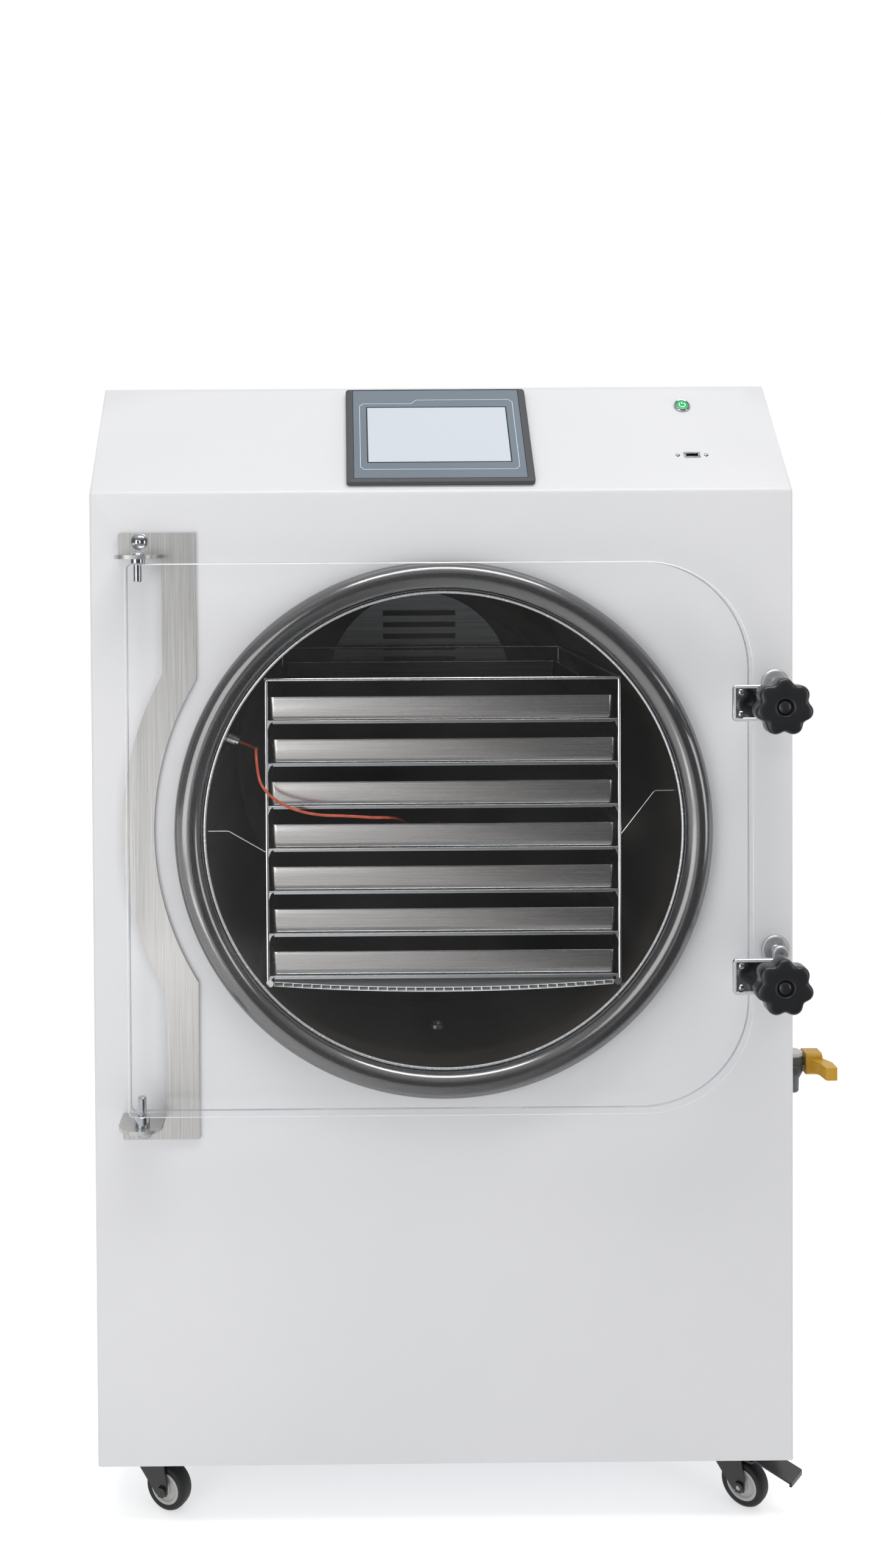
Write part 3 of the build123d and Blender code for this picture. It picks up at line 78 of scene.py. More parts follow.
def new_finish(name, code=None, **sockets):
    """A material with one shader: its base colour is a hex code, and _ stands for a space in a socket's name."""
    finish = bpy.data.materials.new(name)
    finish.use_nodes = True
    shader = finish.node_tree.nodes["Principled BSDF"]
    if code:
        shader.inputs["Base Color"].default_value = colour(code)
    for socket, value in sockets.items():
        shader.inputs[socket.replace("_", " ")].default_value = value
    return finish, finish.node_tree, shader


camera = bpy.data.objects.new("lens", bpy.data.cameras.new("lens"))
bpy.context.scene.collection.objects.link(camera)
bpy.context.scene.camera = camera
camera.location = at((-106.1, -1551.1, 1075.5))
camera.rotation_euler = np.radians((88.974, 0.353, -0.321))
camera.data.lens = 33.457
camera.data.shift_x = 0.0576
camera.data.shift_y = -0.1422

bpy.context.scene.view_settings.view_transform = "Standard"

room = bpy.data.worlds.new("bright room")
bpy.context.scene.world = room
room.use_nodes = True
# Behind the machine and overhead the room is bright. In front of it the left half, which has the
# windows, is brighter than the right half, so flat metal shades from left to right. The lens sees a
# white backdrop all round.
tree = room.node_tree
way = add(tree, "SeparateXYZ", {0: add(tree, "TexCoord").outputs["Generated"]})
brightest = add(tree, "LightPath").outputs["Is Camera Ray"]
for side, start, end, first, last in (("Y", 0.0, 0.45, 0.1, 1.0), ("Z", 0.3, 0.8, 0.05, 0.6),
                                      ("X", -0.06, 0.17, 0.15, 0.05)):
    shade = add(tree, "MapRange", {"Value": way.outputs[side], "From Min": start, "From Max": end,
                                   "To Min": first, "To Max": last})
    brightest = add(tree, "Math", {0: brightest, 1: shade}, operation="MAXIMUM")
add(tree, "Background", {"Color": colour("#ffffff"), "Strength": brightest},
    tree.nodes["World Output"].inputs["Surface"])

bpy.ops.mesh.primitive_plane_add(size=14, location=(0, 0, 0))
floor = bpy.context.object
floor.name = "floor"
floor_paint, tree, shader = new_finish("matt white floor paint", "#fbfbfc", Roughness=0.75)
grain = add(tree, "TexNoise", {"Vector": add(tree, "TexCoord").outputs["Object"], "Scale": 30.0})
add(tree, "Bump", {"Height": grain, "Strength": 0.03}, shader.inputs["Normal"])
# For the lens and glass the floor is as white as the room's far wall, and still keeps the shadow. In
# metal its front half shades from the windows on the left to the dim side on the right.
looked_at = add(tree, "LightPath")
seen_white = add(tree, "Math", {0: looked_at.outputs["Is Camera Ray"], 1: looked_at.outputs["Is Transmission Ray"]},
                 operation="MAXIMUM")
half = add(tree, "Math", {0: seen_white, 1: 0.5}, operation="MULTIPLY")
lift = add(tree, "Emission", {"Color": colour("#ffffff"), "Strength": half})
both = add(tree, "AddShader", {0: shader, 1: lift})
spot = add(tree, "SeparateXYZ", {0: add(tree, "TexCoord").outputs["Object"]})
across = add(tree, "MapRange", {"Value": spot.outputs["X"], "From Min": -0.35, "From Max": 0.45,
                                "To Min": 0.85, "To Max": 0.08})
ahead = add(tree, "MapRange", {"Value": spot.outputs["Y"], "From Min": -0.9, "From Max": -0.3})
shade = add(tree, "Math", {0: across, 1: ahead}, operation="MAXIMUM")
mirrored = add(tree, "Emission", {"Color": colour("#ffffff"), "Strength": shade})
add(tree, "MixShader", {0: looked_at.outputs["Is Glossy Ray"], 1: both, 2: mirrored},
    tree.nodes["Material Output"].inputs["Surface"])
floor.data.materials.append(floor_paint)


def soft_lamp(name, place, aim, width, height, watts):
    """A softbox: a rectangular lamp at a place, turned to face a point."""
    lamp = bpy.data.objects.new(name, bpy.data.lights.new(name, "AREA"))
    bpy.context.scene.collection.objects.link(lamp)
    lamp.data.shape = "RECTANGLE"
    lamp.data.size = width
    lamp.data.size_y = height
    lamp.data.energy = watts
    lamp.location = place
    away = np.asarray(place, float) - np.asarray(aim, float)
    lamp.rotation_euler = (np.arctan2(np.hypot(away[0], away[1]), away[2]), 0, np.arctan2(away[0], -away[1]))


soft_lamp("left window", (-1.4, -2.25, 1.0), (0, 0, 0.75), 1.35, 1.7, 13)
soft_lamp("right window", (2.2, -1.75, 0.9), (0, 0, 0.75), 0.7, 1.6, 8)
soft_lamp("overhead softbox", (0.2, -1.2, 3.0), (0, 0, 0.9), 2.2, 0.5, 26)
soft_lamp("low strip", (-0.9, -1.9, 0.12), (0, 0, 0.6), 0.7, 0.14, 1.1)

# ---- Sensor cable ---------------------------------------------------------------------------------
# A thin two-core temperature lead in red-brown silicone, which limply follows the rack's front edge
# and ends in a crimped steel sheath in the fourth tray. It leaves the drum wall through a nickelled gland.


def joined(*shapes):
    """Several (points, faces) shapes as one."""
    starts = np.cumsum([0] + [len(s[0]) for s in shapes])
    faces = [[int(i) + start for i in face] for start, s in zip(starts, shapes) for face in s[1]]
    return np.concatenate([s[0] for s in shapes]), faces


def net(points, close_rows=False, close_columns=False):
    """A grid of points joined by four-sided faces; closing joins the last row or column to the first."""
    rows, columns = points.shape[:2]
    number = np.arange(rows * columns).reshape(rows, columns)
    if close_rows:
        number = np.vstack([number, number[:1]])
    if close_columns:
        number = np.hstack([number, number[:, :1]])
    quads = np.stack([number[:-1, :-1], number[1:, :-1], number[1:, 1:], number[:-1, 1:]], -1).reshape(-1, 4)
    return points.reshape(-1, 3), quads.tolist()


def turned(outline, centre, axis="y", steps=96, start=0.0):
    """A closed outline of (radius, distance along the axis), in mm, turned about an axis through a centre.

    The point at angle a is the centre plus radius times (cos a, sin a) across the axis plus the distance
    along it.
    """
    outline = np.asarray(outline, float)
    turn = start + np.linspace(0, 2 * np.pi, steps, endpoint=False)[:, None]
    first = outline[:, 0] * np.cos(turn)
    second = outline[:, 0] * np.sin(turn)
    along = np.broadcast_to(outline[:, 1], first.shape)
    order = {"x": (along, first, second), "y": (first, along, second), "z": (first, second, along)}[axis]
    return net(np.stack(order, -1) + np.asarray(centre, float), close_rows=True, close_columns=True)


def piece(name, shape, body, finish, sharp=32, replaced=()):
    """Makes an object of a shape in mm, welds its seams and poles, turns its faces outwards and rides it."""
    points, faces = shape
    mesh = bpy.data.meshes.new(name)
    mesh.from_pydata(at(points).tolist(), [], faces)
    form = bmesh.new()
    form.from_mesh(mesh)
    bmesh.ops.remove_doubles(form, verts=form.verts, dist=1e-6)
    bmesh.ops.recalc_face_normals(form, faces=form.faces)
    form.to_mesh(mesh)
    form.free()
    return settle(bpy.data.objects.new(name, mesh), body, finish, sharp, replaced)


def settle(thing, body, finish, sharp=32, replaced=()):
    """Links an object, gives it its finish and smooth shading up to an angle, and rides it on a body."""
    if thing.name not in bpy.context.scene.collection.objects:
        bpy.context.scene.collection.objects.link(thing)
    for each in finish if isinstance(finish, (list, tuple)) else [finish]:
        thing.data.materials.append(each)
    if thing.type == "MESH" and sharp:
        thing.data.shade_smooth()
        thing.data.set_sharp_from_angle(angle=np.radians(sharp))
    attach(thing, body)
    if replaced:
        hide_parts(*replaced)
    return thing


def grained(tree, shader, scale, strength, distance, detail=2.0):
    """A fine skin: noise, with that many grains in a metre, lifts the surface by up to a distance in metres."""
    place = add(tree, "TexCoord").outputs["Object"]
    grain = add(tree, "TexNoise", {"Vector": place, "Scale": scale, "Detail": detail})
    add(tree, "Bump", {"Height": grain, "Strength": strength, "Distance": distance}, shader.inputs["Normal"])


def mottled(tree, shader, scale, code_low, code_high, detail=2.0, span=(0.0, 1.0), socket="Base Color"):
    """A cloudy colour: noise blends one hex colour into another over a span of its levels."""
    place = add(tree, "TexCoord").outputs["Object"]
    cloud = add(tree, "TexNoise", {"Vector": place, "Scale": scale, "Detail": detail})
    tint = add(tree, "ValToRGB", {"Fac": cloud}, shader.inputs[socket])
    for stop, level, code in zip(tint.color_ramp.elements, span, (code_low, code_high)):
        stop.position, stop.color = level, colour(code)


cable_points = np.array([
    (-221.89, 65.0, 847.07), (-210.71, 65.0, 842.73), (-204.5, 57.5, 840.6), (-200.5, 41.0, 841.1),
    (-199.5, 22.0, 845.6), (-199.5, 3.5, 847.6), (-198.5, -10.0, 840.6), (-197.0, -15.0, 827.1),
    (-194.0, -15.5, 813.3), (-185.5, -15.5, 801.6), (-173.5, -15.0, 792.6), (-159.0, -14.5, 785.6),
    (-143.0, -14.0, 781.1), (-126.5, -13.5, 778.8), (-109.0, -13.5, 778.4), (-91.0, -13.0, 777.2),
    (-74.0, -10.0, 775.4), (-61.0, -2.0, 774.0), (-51.0, 10.5, 771.0), (-42.5, 25.0, 765.0),
    (-34.5, 40.5, 756.3), (-27.5, 55.0, 748.8), (-20.5, 69.5, 745.4), (-14.0, 83.0, 745.4),
])
cable_route = at(cable_points)

# Extruded silicone rubber: waxy, with a soft sheen, patches of dust about 6 mm across and a 1 mm grain.
cable_rubber, tree, shader = new_finish("extruded silicone rubber", Roughness=0.42, Subsurface_Weight=0.08,
                                        Subsurface_Radius=(0.002, 0.0008, 0.0005))
mottled(tree, shader, 160.0, "#b4452a", "#d0603f", detail=4.0, span=(0.35, 0.7))
grained(tree, shader, 900.0, 0.15, 0.0002)

cable_line = bpy.data.curves.new("sensor_cable_lead", "CURVE")
cable_line.dimensions = "3D"
spline = cable_line.splines.new("NURBS")
spline.points.add(len(cable_route) - 1)
spline.points.foreach_set("co", np.hstack([cable_route, np.ones((len(cable_route), 1))]).ravel())
spline.order_u = 3
spline.use_endpoint_u = True
cable_line.resolution_u = 8
cable_line.bevel_depth = 0.0015
cable_line.bevel_resolution = 4
cable_line.use_fill_caps = True
cable = bpy.data.objects.new("sensor_cable_lead", cable_line)
settle(cable, "root", cable_rubber, replaced=("sensor_cable",))

# Drawn stainless tube: bright, faintly grained, with two crimps rolled in at the cable's end.
probe_steel, tree, shader = new_finish("drawn stainless tube", "#cfd0d2", Metallic=1.0, Roughness=0.28)
grained(tree, shader, 700.0, 0.1, 0.0001)

probe_end = cable_points[-1]
probe_run = (probe_end - cable_points[-2]) / np.linalg.norm(probe_end - cable_points[-2])
probe_side = np.cross(probe_run, (0, 0, 1.0))
probe_side /= np.linalg.norm(probe_side)
probe_up = np.cross(probe_side, probe_run)
probe_outline = np.array([
    (0.0, 0.0), (1.7, 0.0), (2.0, 0.4), (2.0, 5.0), (1.72, 5.6), (1.72, 6.6), (2.0, 7.2), (2.0, 10.0),
    (1.72, 10.6), (1.72, 11.6), (2.0, 12.2), (2.0, 38.4), (1.75, 39.3), (1.1, 39.85), (0.0, 40.0),
])
turn = np.linspace(0, 2 * np.pi, 24, endpoint=False)[:, None, None]
probe_points = (probe_end + probe_run * probe_outline[:, 1:2]
                + probe_outline[:, 0:1] * (probe_side * np.cos(turn) + probe_up * np.sin(turn)))
probe = piece("probe_sheath", net(probe_points, close_rows=True), "root", probe_steel,
              replaced=("sensor_probe",))

# ---- Cabinet sheets -------------------------------------------------------------------------------
# Folded 2 mm sheet steel, spot-welded, degreased and powder coated white: one front sheet that carries
# the sloped console, two sides, a lid and a back sheet. The coat is baked, so it is satin with a faint
# orange-peel skin, and its pressed louvres stand a few millimetres proud.


def refined(node, name, body, finish, ease=0.0, sharp=32):
    """A copy of a CAD node: loose triangles merged, flat faces joined, edges eased by a bevel of ease mm.

    Given two finishes, the second goes on the eased edges.
    """
    mesh = nodes[node].data.copy()
    mesh.name = name
    mesh.materials.clear()
    form = bmesh.new()
    form.from_mesh(mesh)
    bmesh.ops.remove_doubles(form, verts=form.verts, dist=2e-6)
    bmesh.ops.dissolve_limit(form, angle_limit=np.radians(0.6), verts=form.verts, edges=form.edges)
    form.to_mesh(mesh)
    form.free()
    thing = bpy.data.objects.new(name, mesh)
    if ease:
        bevel = thing.modifiers.new("eased edges", "BEVEL")
        bevel.width = ease / 1000
        bevel.segments = 2
        bevel.limit_method = "ANGLE"
        bevel.angle_limit = np.radians(30)
        bevel.harden_normals = True
        bevel.material = 1 if isinstance(finish, list) else 0
    return settle(thing, body, finish, sharp, replaced=(node,))


# Polyester powder coat, baked: cool white, satin, with a skin of shallow waves 2 to 4 mm across and a
# fine 0.5 mm grain, drawn at 0.8 mm so that it shows.
powder_coat, tree, shader = new_finish("white polyester powder coat", Roughness=0.36, Coat_Weight=0.12,
                                       Coat_Roughness=0.22)
mottled(tree, shader, 2.2, "#e5e6e8", "#ebebed", detail=3.0, span=(0.3, 0.7))
place = add(tree, "TexCoord").outputs["Object"]
peel = add(tree, "TexNoise", {"Vector": place, "Scale": 330.0, "Detail": 2.0})
peel_bump = add(tree, "Bump", {"Height": peel, "Strength": 0.10, "Distance": 0.0004})
grain = add(tree, "TexNoise", {"Vector": place, "Scale": 1250.0, "Detail": 1.0})
add(tree, "Bump", {"Height": grain, "Strength": 0.06, "Distance": 0.0002, "Normal": peel_bump},
    shader.inputs["Normal"])

refined("front_panel", "front_panel_sheet", "root", powder_coat, sharp=40)
for node in ("left_side_panel", "right_side_panel", "top_cover", "rear_panel"):
    refined(node, node + "_sheet", "root", powder_coat, ease=0.6)

# Hot-dip galvanised sheet, left bare inside the cabinet: dull blue-grey with the zinc's 10 mm spangle.
galvanised, tree, shader = new_finish("galvanised sheet", Metallic=0.9)
place = add(tree, "TexCoord").outputs["Object"]
spangle = add(tree, "TexVoronoi", {"Vector": place, "Scale": 95.0})
tint = add(tree, "ValToRGB", {"Fac": spangle.outputs["Color"]}, shader.inputs["Base Color"])
tint.color_ramp.elements[0].color = colour("#8e959b")
tint.color_ramp.elements[1].color = colour("#b4bac0")
add(tree, "MapRange", {"Value": spangle.outputs["Color"], "To Min": 0.38, "To Max": 0.55},
    shader.inputs["Roughness"])

for node in ("base_tray", "cabinet_frame", "control_box"):
    refined(node, node + "_sheet", "root", galvanised, ease=0.5)

# ---- Vacuum chamber -------------------------------------------------------------------------------
# A rolled and welded stainless drum with a spun dished back and a turned lip, which passes through the
# front sheet. Its inside is wiped round by hand, with circular wipe lines, and its steel is painted dark as
# shade, since little light reaches into it; copper evaporator tube and grey foam go round its outside.
chamber_height = 761.0
chamber = (0.0, 0.0, chamber_height)


def dish(radius, depth, bulge):
    """Points (radius, depth) from the rim to the axis of a spherical cap."""
    ball = (radius ** 2 + bulge ** 2) / (2 * bulge)
    half = np.arcsin(radius / ball)
    angle = np.linspace(half, 0, 22)
    return np.stack([ball * np.sin(angle), depth + bulge - ball * (1 - np.cos(angle))], -1)


def brushed(name, code_low, code_high, rough, scale, along=None, depth=0.12, aniso=0.5, metal=1.0, rings_about=None):
    """A metal with fine parallel scratches: noise stretched along one axis drives its colour, gloss and bump.

    scale is scratches in a metre on each axis, and the axis named along gets far fewer. rings_about
    makes the scratches run round an axis through a point instead.
    """
    length_to_spacing = 150
    finish, tree, shader = new_finish(name, Metallic=metal, Anisotropic=aniso)
    place = add(tree, "TexCoord").outputs["Object"]
    if rings_about is None:
        stretch = [scale / length_to_spacing if axis == along else scale for axis in "xyz"]
        place = add(tree, "Mapping", {"Vector": place, "Scale": stretch})
    else:
        centred = add(tree, "Mapping", {"Vector": place, "Location": [-c for c in at(rings_about)]})
        part = add(tree, "SeparateXYZ", {0: centred})
        flat = add(tree, "CombineXYZ", {"X": part.outputs["X"], "Y": part.outputs["Z"]})
        reach = add(tree, "VectorMath", {0: flat}, operation="LENGTH")
        angle = add(tree, "Math", {0: part.outputs["Z"], 1: part.outputs["X"]}, operation="ARCTAN2")
        turn = add(tree, "Math", {0: angle, 1: 4.0}, operation="MULTIPLY")
        spread = add(tree, "Math", {0: reach.outputs["Value"], 1: scale}, operation="MULTIPLY")
        back = add(tree, "Math", {0: part.outputs["Y"], 1: scale}, operation="MULTIPLY")
        place = add(tree, "CombineXYZ", {"X": spread, "Y": turn, "Z": back})
    scratch = add(tree, "TexNoise", {"Vector": place, "Scale": 1.0, "Detail": 3.0, "Roughness": 0.6})
    tint = add(tree, "ValToRGB", {"Fac": scratch}, shader.inputs["Base Color"])
    for stop, level, code in zip(tint.color_ramp.elements, (0.3, 0.7), (code_low, code_high)):
        stop.position, stop.color = level, colour(code)
    add(tree, "MapRange", {"Value": scratch, "To Min": rough * 0.75, "To Max": rough * 1.3},
        shader.inputs["Roughness"])
    add(tree, "Bump", {"Height": scratch, "Strength": depth, "Distance": 0.0003}, shader.inputs["Normal"])
    return finish


# 304 stainless, wiped round by hand: its wipe marks run round the drum's axis, in bands drawn about 6 mm
# apart. Its dim brown-grey is painted shade for the drum's dark inside, and Metallic stays below one, so part of it
# shows as matt grey.
shaded_wiped_steel = brushed("wiped stainless drum in painted shade", "#58544d", "#716d65", 0.2, 160, depth=0.0, aniso=0.4, metal=0.7,
                      rings_about=chamber)
drum_inner, drum_outer, flange, lip_front, drum_back = 252.0, 255.0, 297.0, -14.0, 470.0
drum_outline = np.concatenate([
    [(drum_inner, drum_back - 1.0), (drum_inner, 300.0), (drum_inner, 120.0), (drum_inner, 0.0),
     (drum_inner, lip_front + 1.2), (drum_inner + 0.6, lip_front + 0.3), (drum_inner + 1.5, lip_front),
     (drum_outer - 0.6, lip_front + 0.3), (drum_outer, lip_front + 1.2), (drum_outer, 2.0), (flange, 2.0),
     (flange, 6.0), (drum_outer, 6.0), (drum_outer, 300.0), (drum_outer, drum_back)],
    dish(drum_outer, drum_back, 33.0), dish(drum_inner, drum_back, 30.0)[::-1],
])
drum_outline = drum_outline[np.append(True, np.abs(np.diff(drum_outline, axis=0)).sum(1) > 1e-6)]
# The lip is turned and polished where the seal fits over it; its near-white, partly matt colour is a painted
# highlight, so it shows as one thin bright ring.
lip_painted_highlight = brushed("turned lip with painted highlight", "#dfe1e4", "#f6f7f8", 0.25, 300, depth=0.02, aniso=0.0, metal=0.6)
drum = piece("chamber_drum_shell", turned(drum_outline, chamber, steps=180), "root", [shaded_wiped_steel, lip_painted_highlight],
             replaced=("chamber_drum",))
lip_start = at((0, lip_front + 2.0, 0))[1]
drum.data.polygons.foreach_set("material_index", [int(p.center[1] < lip_start) for p in drum.data.polygons])

# Moulded nitrile rubber ring, buffed with silicone grease for the vacuum: near black, glossy, so it
# mirrors the lamps in long clean streaks. The grease is wiped on unevenly, so the gloss varies.
seal_rubber, tree, shader = new_finish("greased nitrile rubber", "#1f2023", IOR=2.7)
place = add(tree, "TexCoord").outputs["Object"]
smear = add(tree, "TexNoise", {"Vector": place, "Scale": 14.0, "Detail": 3.0})
add(tree, "MapRange", {"Value": smear, "To Min": 0.14, "To Max": 0.2}, shader.inputs["Roughness"])
seal_middle, seal_round = 270.5, 15.4
seal_inner, seal_outer = seal_middle - seal_round, seal_middle + seal_round
seal_turn = np.linspace(np.pi, 0, 26)
seal_outline = np.concatenate([
    [(seal_inner, -0.2), (seal_inner, -4.0)],
    np.stack([seal_middle + seal_round * np.cos(seal_turn), -9.2 - seal_round * np.sin(seal_turn)], -1),
    [(seal_outer, -4.0), (seal_outer - 0.7, -1.2), (seal_outer, -0.9), (seal_outer, -0.2)],
])
piece("door_seal_ring", turned(seal_outline, chamber, steps=240), "root", seal_rubber,
      replaced=("door_seal",))

# Half-hard copper tube, bent round the drum and soldered: warm, tarnished in patches.
copper, tree, shader = new_finish("tarnished copper tube", Metallic=1.0, Roughness=0.35)
mottled(tree, shader, 25.0, "#7a4a34", "#cf8a66", detail=4.0)

# Closed-cell nitrile foam sleeve: charcoal, matt, with 0.5 mm cells drawn at 1 mm.
foam, tree, shader = new_finish("closed cell foam", "#2b2c2f", Roughness=0.9)
cells = add(tree, "TexVoronoi", {"Vector": add(tree, "TexCoord").outputs["Object"], "Scale": 900.0})
add(tree, "Bump", {"Height": cells, "Strength": 0.4, "Distance": 0.0005}, shader.inputs["Normal"])


def refinish(finish, *names):
    """Gives CAD nodes that keep their own shape another material."""
    for name in names:
        nodes[name].data.materials.clear()
        nodes[name].data.materials.append(finish)


refinish(copper, "evaporator_coil")
refinish(foam, "insulation_jacket")
refined("vapour_baffle", "vapour_baffle_plate", "root",
        brushed("brushed baffle plate", "#8e9195", "#adb0b3", 0.3, 700, "x"), ease=0.3)

# Machined and nickel-plated brass gland; drawn and welded stainless drain and vacuum pipes.
bright_steel = brushed("turned stainless", "#b9bbbe", "#dcdddf", 0.2, 600, "z", 0.05, 0.2)
for node in ("cable_gland", "drain_pipe", "vacuum_port"):
    refined(node, node + "_metal", "root", bright_steel, ease=0.3)

# ---- Refrigeration and fan ------------------------------------------------------------------------
# A black stoved compressor pot, an aluminium-finned condenser and a moulded fan sit on the floor sheet.
# They only show through the back sheet's round opening and louvres.
stoved_black, tree, shader = new_finish("black stoving enamel", "#17181a", Roughness=0.38, Coat_Weight=0.3)
grained(tree, shader, 120.0, 0.08, 0.0006)
fin_stock = brushed("rolled aluminium fin stock", "#9da1a5", "#c9ccd0", 0.35, 400, "z")
refined("compressor", "compressor_pot", "root", stoved_black, ease=0.6)
refinish(fin_stock, "condenser")

# Glass-filled nylon mouldings: black, matt, spark-eroded grain 0.3 mm, drawn at 0.9 mm.
nylon, tree, shader = new_finish("black glass filled nylon", "#1d1e20", Roughness=0.5)
grained(tree, shader, 1100.0, 0.25, 0.0002)
refined("fan_frame", "fan_housing", "root", nylon, ease=0.5)
refined("fan_rotor", "fan_blades", "fan", nylon, ease=0.3)


def bar(route, radius, sides=12, close=False):
    """A round bar through points in mm, mitred at each: each ring lies across the mean of its two runs."""
    route = np.asarray(route, float)
    ahead = np.roll(route, -1, 0) - route
    if not close:
        ahead[-1] = ahead[-2]
    ahead /= np.linalg.norm(ahead, axis=1, keepdims=True)
    behind = np.roll(ahead, 1, 0)
    if not close:
        behind[0] = ahead[0]
    run = ahead + behind
    run /= np.linalg.norm(run, axis=1, keepdims=True)
    across = np.zeros_like(run)
    guide = np.array((0.0, 0.0, 1.0)) if abs(run[0, 2]) < 0.9 else np.array((0.0, 1.0, 0.0))
    for k in range(len(run)):
        guide = guide - run[k] * (guide @ run[k])
        guide /= np.linalg.norm(guide)
        across[k] = guide
    side = np.cross(run, across)
    wide = 1 / np.sqrt(np.clip((1 + (ahead * behind).sum(1)) / 2, 0.3, 1))
    turn = np.linspace(0, 2 * np.pi, sides, endpoint=False)
    bend = ahead - behind
    bend_size = np.linalg.norm(bend, axis=1, keepdims=True)
    bend = np.where(bend_size > 1e-6, bend / np.maximum(bend_size, 1e-6), 0)
    spoke = across[:, None] * np.cos(turn)[:, None] + side[:, None] * np.sin(turn)[:, None]
    spoke = spoke + bend[:, None] * (spoke * bend[:, None]).sum(-1, keepdims=True) * (wide[:, None, None] - 1)
    rings = route[:, None] + radius * spoke
    if close:
        return net(rings, close_rows=True, close_columns=True)
    ends = np.concatenate([np.repeat(route[:1, None], sides, 1), rings, np.repeat(route[-1:, None], sides, 1)])
    return net(ends, close_columns=True)


# Bright zinc-plated steel wire grille over the fan: rings and spokes, welded.
wire_zinc = brushed("bright zinc plated wire", "#a9adb2", "#d5d8dc", 0.25, 500, "y", 0.05, 0.1)
fan_x, fan_z = -170, 255
ring_back, spoke_back, sheet_back = 803.2, 804.8, 801.2
turn = np.linspace(0, 2 * np.pi, 72, endpoint=False)
grille = []
for radius in (24, 42, 60, 78, 96):
    ring = np.stack([fan_x + radius * np.cos(turn), np.full(len(turn), ring_back), fan_z + radius * np.sin(turn)], -1)
    grille.append(bar(ring, 1.1, 8, close=True))
reach = np.array((24.0, 60.0, 106.0, 109.0))
depth = np.array((spoke_back, spoke_back, spoke_back, sheet_back))
for angle in np.radians((45, 135, 225, 315)):
    spoke = np.stack([fan_x + reach * np.cos(angle), depth, fan_z + reach * np.sin(angle)], -1)
    grille.append(bar(spoke, 1.3, 8))
piece("fan_grille", joined(*grille), "root", wire_zinc)

# ---- Tray rack ------------------------------------------------------------------------------------
# Welded from 4 mm stainless rod, with folded shelf plates hooked between the uprights and two round
# runners below. Electropolished, so every rod is one thin bright line.
electropolish = brushed("electropolished stainless rod", "#c3c6ca", "#f0f1f3", 0.16, 500, "z", 0.03, 0.0)


def corner_arc(before, here, after, radius, steps):
    """An arc that rounds the corner at here: its ends lie radius / tan(half the corner's angle) from it."""
    before, after = before - here, after - here
    before, after = before / np.linalg.norm(before), after / np.linalg.norm(after)
    half = np.arccos(np.clip(before @ after, -1, 1)) / 2
    middle = here + (before + after) / np.linalg.norm(before + after) * radius / np.sin(half)
    spoke = here + before * radius / np.tan(half) - middle
    side = here + after * radius / np.tan(half) - middle
    sweep = np.linspace(0, 1, steps + 1)[:, None] * (np.pi - 2 * half)
    across = side - spoke * (side @ spoke) / (radius * radius)
    across = across / np.linalg.norm(across) * radius
    return middle + spoke * np.cos(sweep) + across * np.sin(sweep)


def rounded_route(points, radius):
    """An open route with its inner corners bent to a radius."""
    points = np.asarray(points, float)
    bends = [corner_arc(*points[k - 1:k + 2], radius, 6) for k in range(1, len(points) - 1)]
    return np.concatenate([points[:1], *bends, points[-1:]])


post_x, runner_x, rack_front, rack_back, rack_top = 188.0, 186.0, -3.0, 433.0, 922.0
runner_reach = 247.7
rack_low = chamber_height - np.sqrt(runner_reach ** 2 - runner_x ** 2)
rods = []
for y in (rack_front, rack_back):
    hoop = [(-post_x, y, rack_low), (-post_x, y, rack_top), (post_x, y, rack_top), (post_x, y, rack_low)]
    rods.append(bar(rounded_route(hoop, 2.6), 2.0, 14))
for x in (-post_x, post_x):
    rods.append(bar([(x, rack_front, rack_top), (x, rack_back, rack_top)], 2.0, 14))
for x in (-runner_x, runner_x):
    ends = (rack_front - 2.0, rack_front - 1.0, rack_back + 1.0, rack_back + 2.0)
    rods.append(bar([(x, y, rack_low) for y in ends], 4.0, 18))
for side, wall, high, low in ((-1, 250.8, 761.0, 738.0), (1, 247.6, 801.0, 754.0)):
    stay = [(side * wall, rack_front, high), (side * (wall - 22), rack_front, high),
            (side * (post_x + 1.0), rack_front, low)]
    rods.append(bar(rounded_route(stay, 5.0), 0.8, 8))

# Each shelf corner is welded to its upright with a bright, uneven bead, a fillet 4.6 mm by 7.5 mm.
shelf_start, shelf_pitch, shelf_count, shelf_sheet_thick = 924.0, 45.5, 7, 1.5
bead = np.array([(0.0, 0.0), (-4.6, 0.0), (-4.3, -0.9), (-3.1, -1.3), (-2.2, -2.7), (-1.7, -4.6), (-0.9, -5.6),
                 (-0.6, -7.3), (0.0, -7.5)])
bead_levels = ((0.0, 0.0), (0.85, 0.1), (1.0, 0.7), (0.9, 1.5), (1.0, 2.3), (0.85, 2.9), (0.0, 3.0))
for k in range(shelf_count):
    low = shelf_start - shelf_pitch * (k + 1) - shelf_sheet_thick
    for side in (-1, 1):
        for front in (rack_front - 2.0, rack_back - 1.0):
            rings = [np.column_stack([side * (post_x - 1.8 + share * bead[:, 0]), np.full(len(bead), front + depth),
                                      low + share * bead[:, 1]]) for share, depth in bead_levels]
            rods.append(net(np.stack(rings), close_columns=True))
piece("rack_rods", joined(*rods), "root", electropolish, replaced=("rack_frame",))

# 1.5 mm sheet, cut, folded down along its front and back edge and spot-welded to the uprights.
shelf_sheet = brushed("folded stainless sheet", "#b3b6ba", "#e6e8ea", 0.22, 700, "x", 0.05, 0.3)
refined("rack_shelves", "rack_shelf_plates", "root", shelf_sheet, ease=0.3)

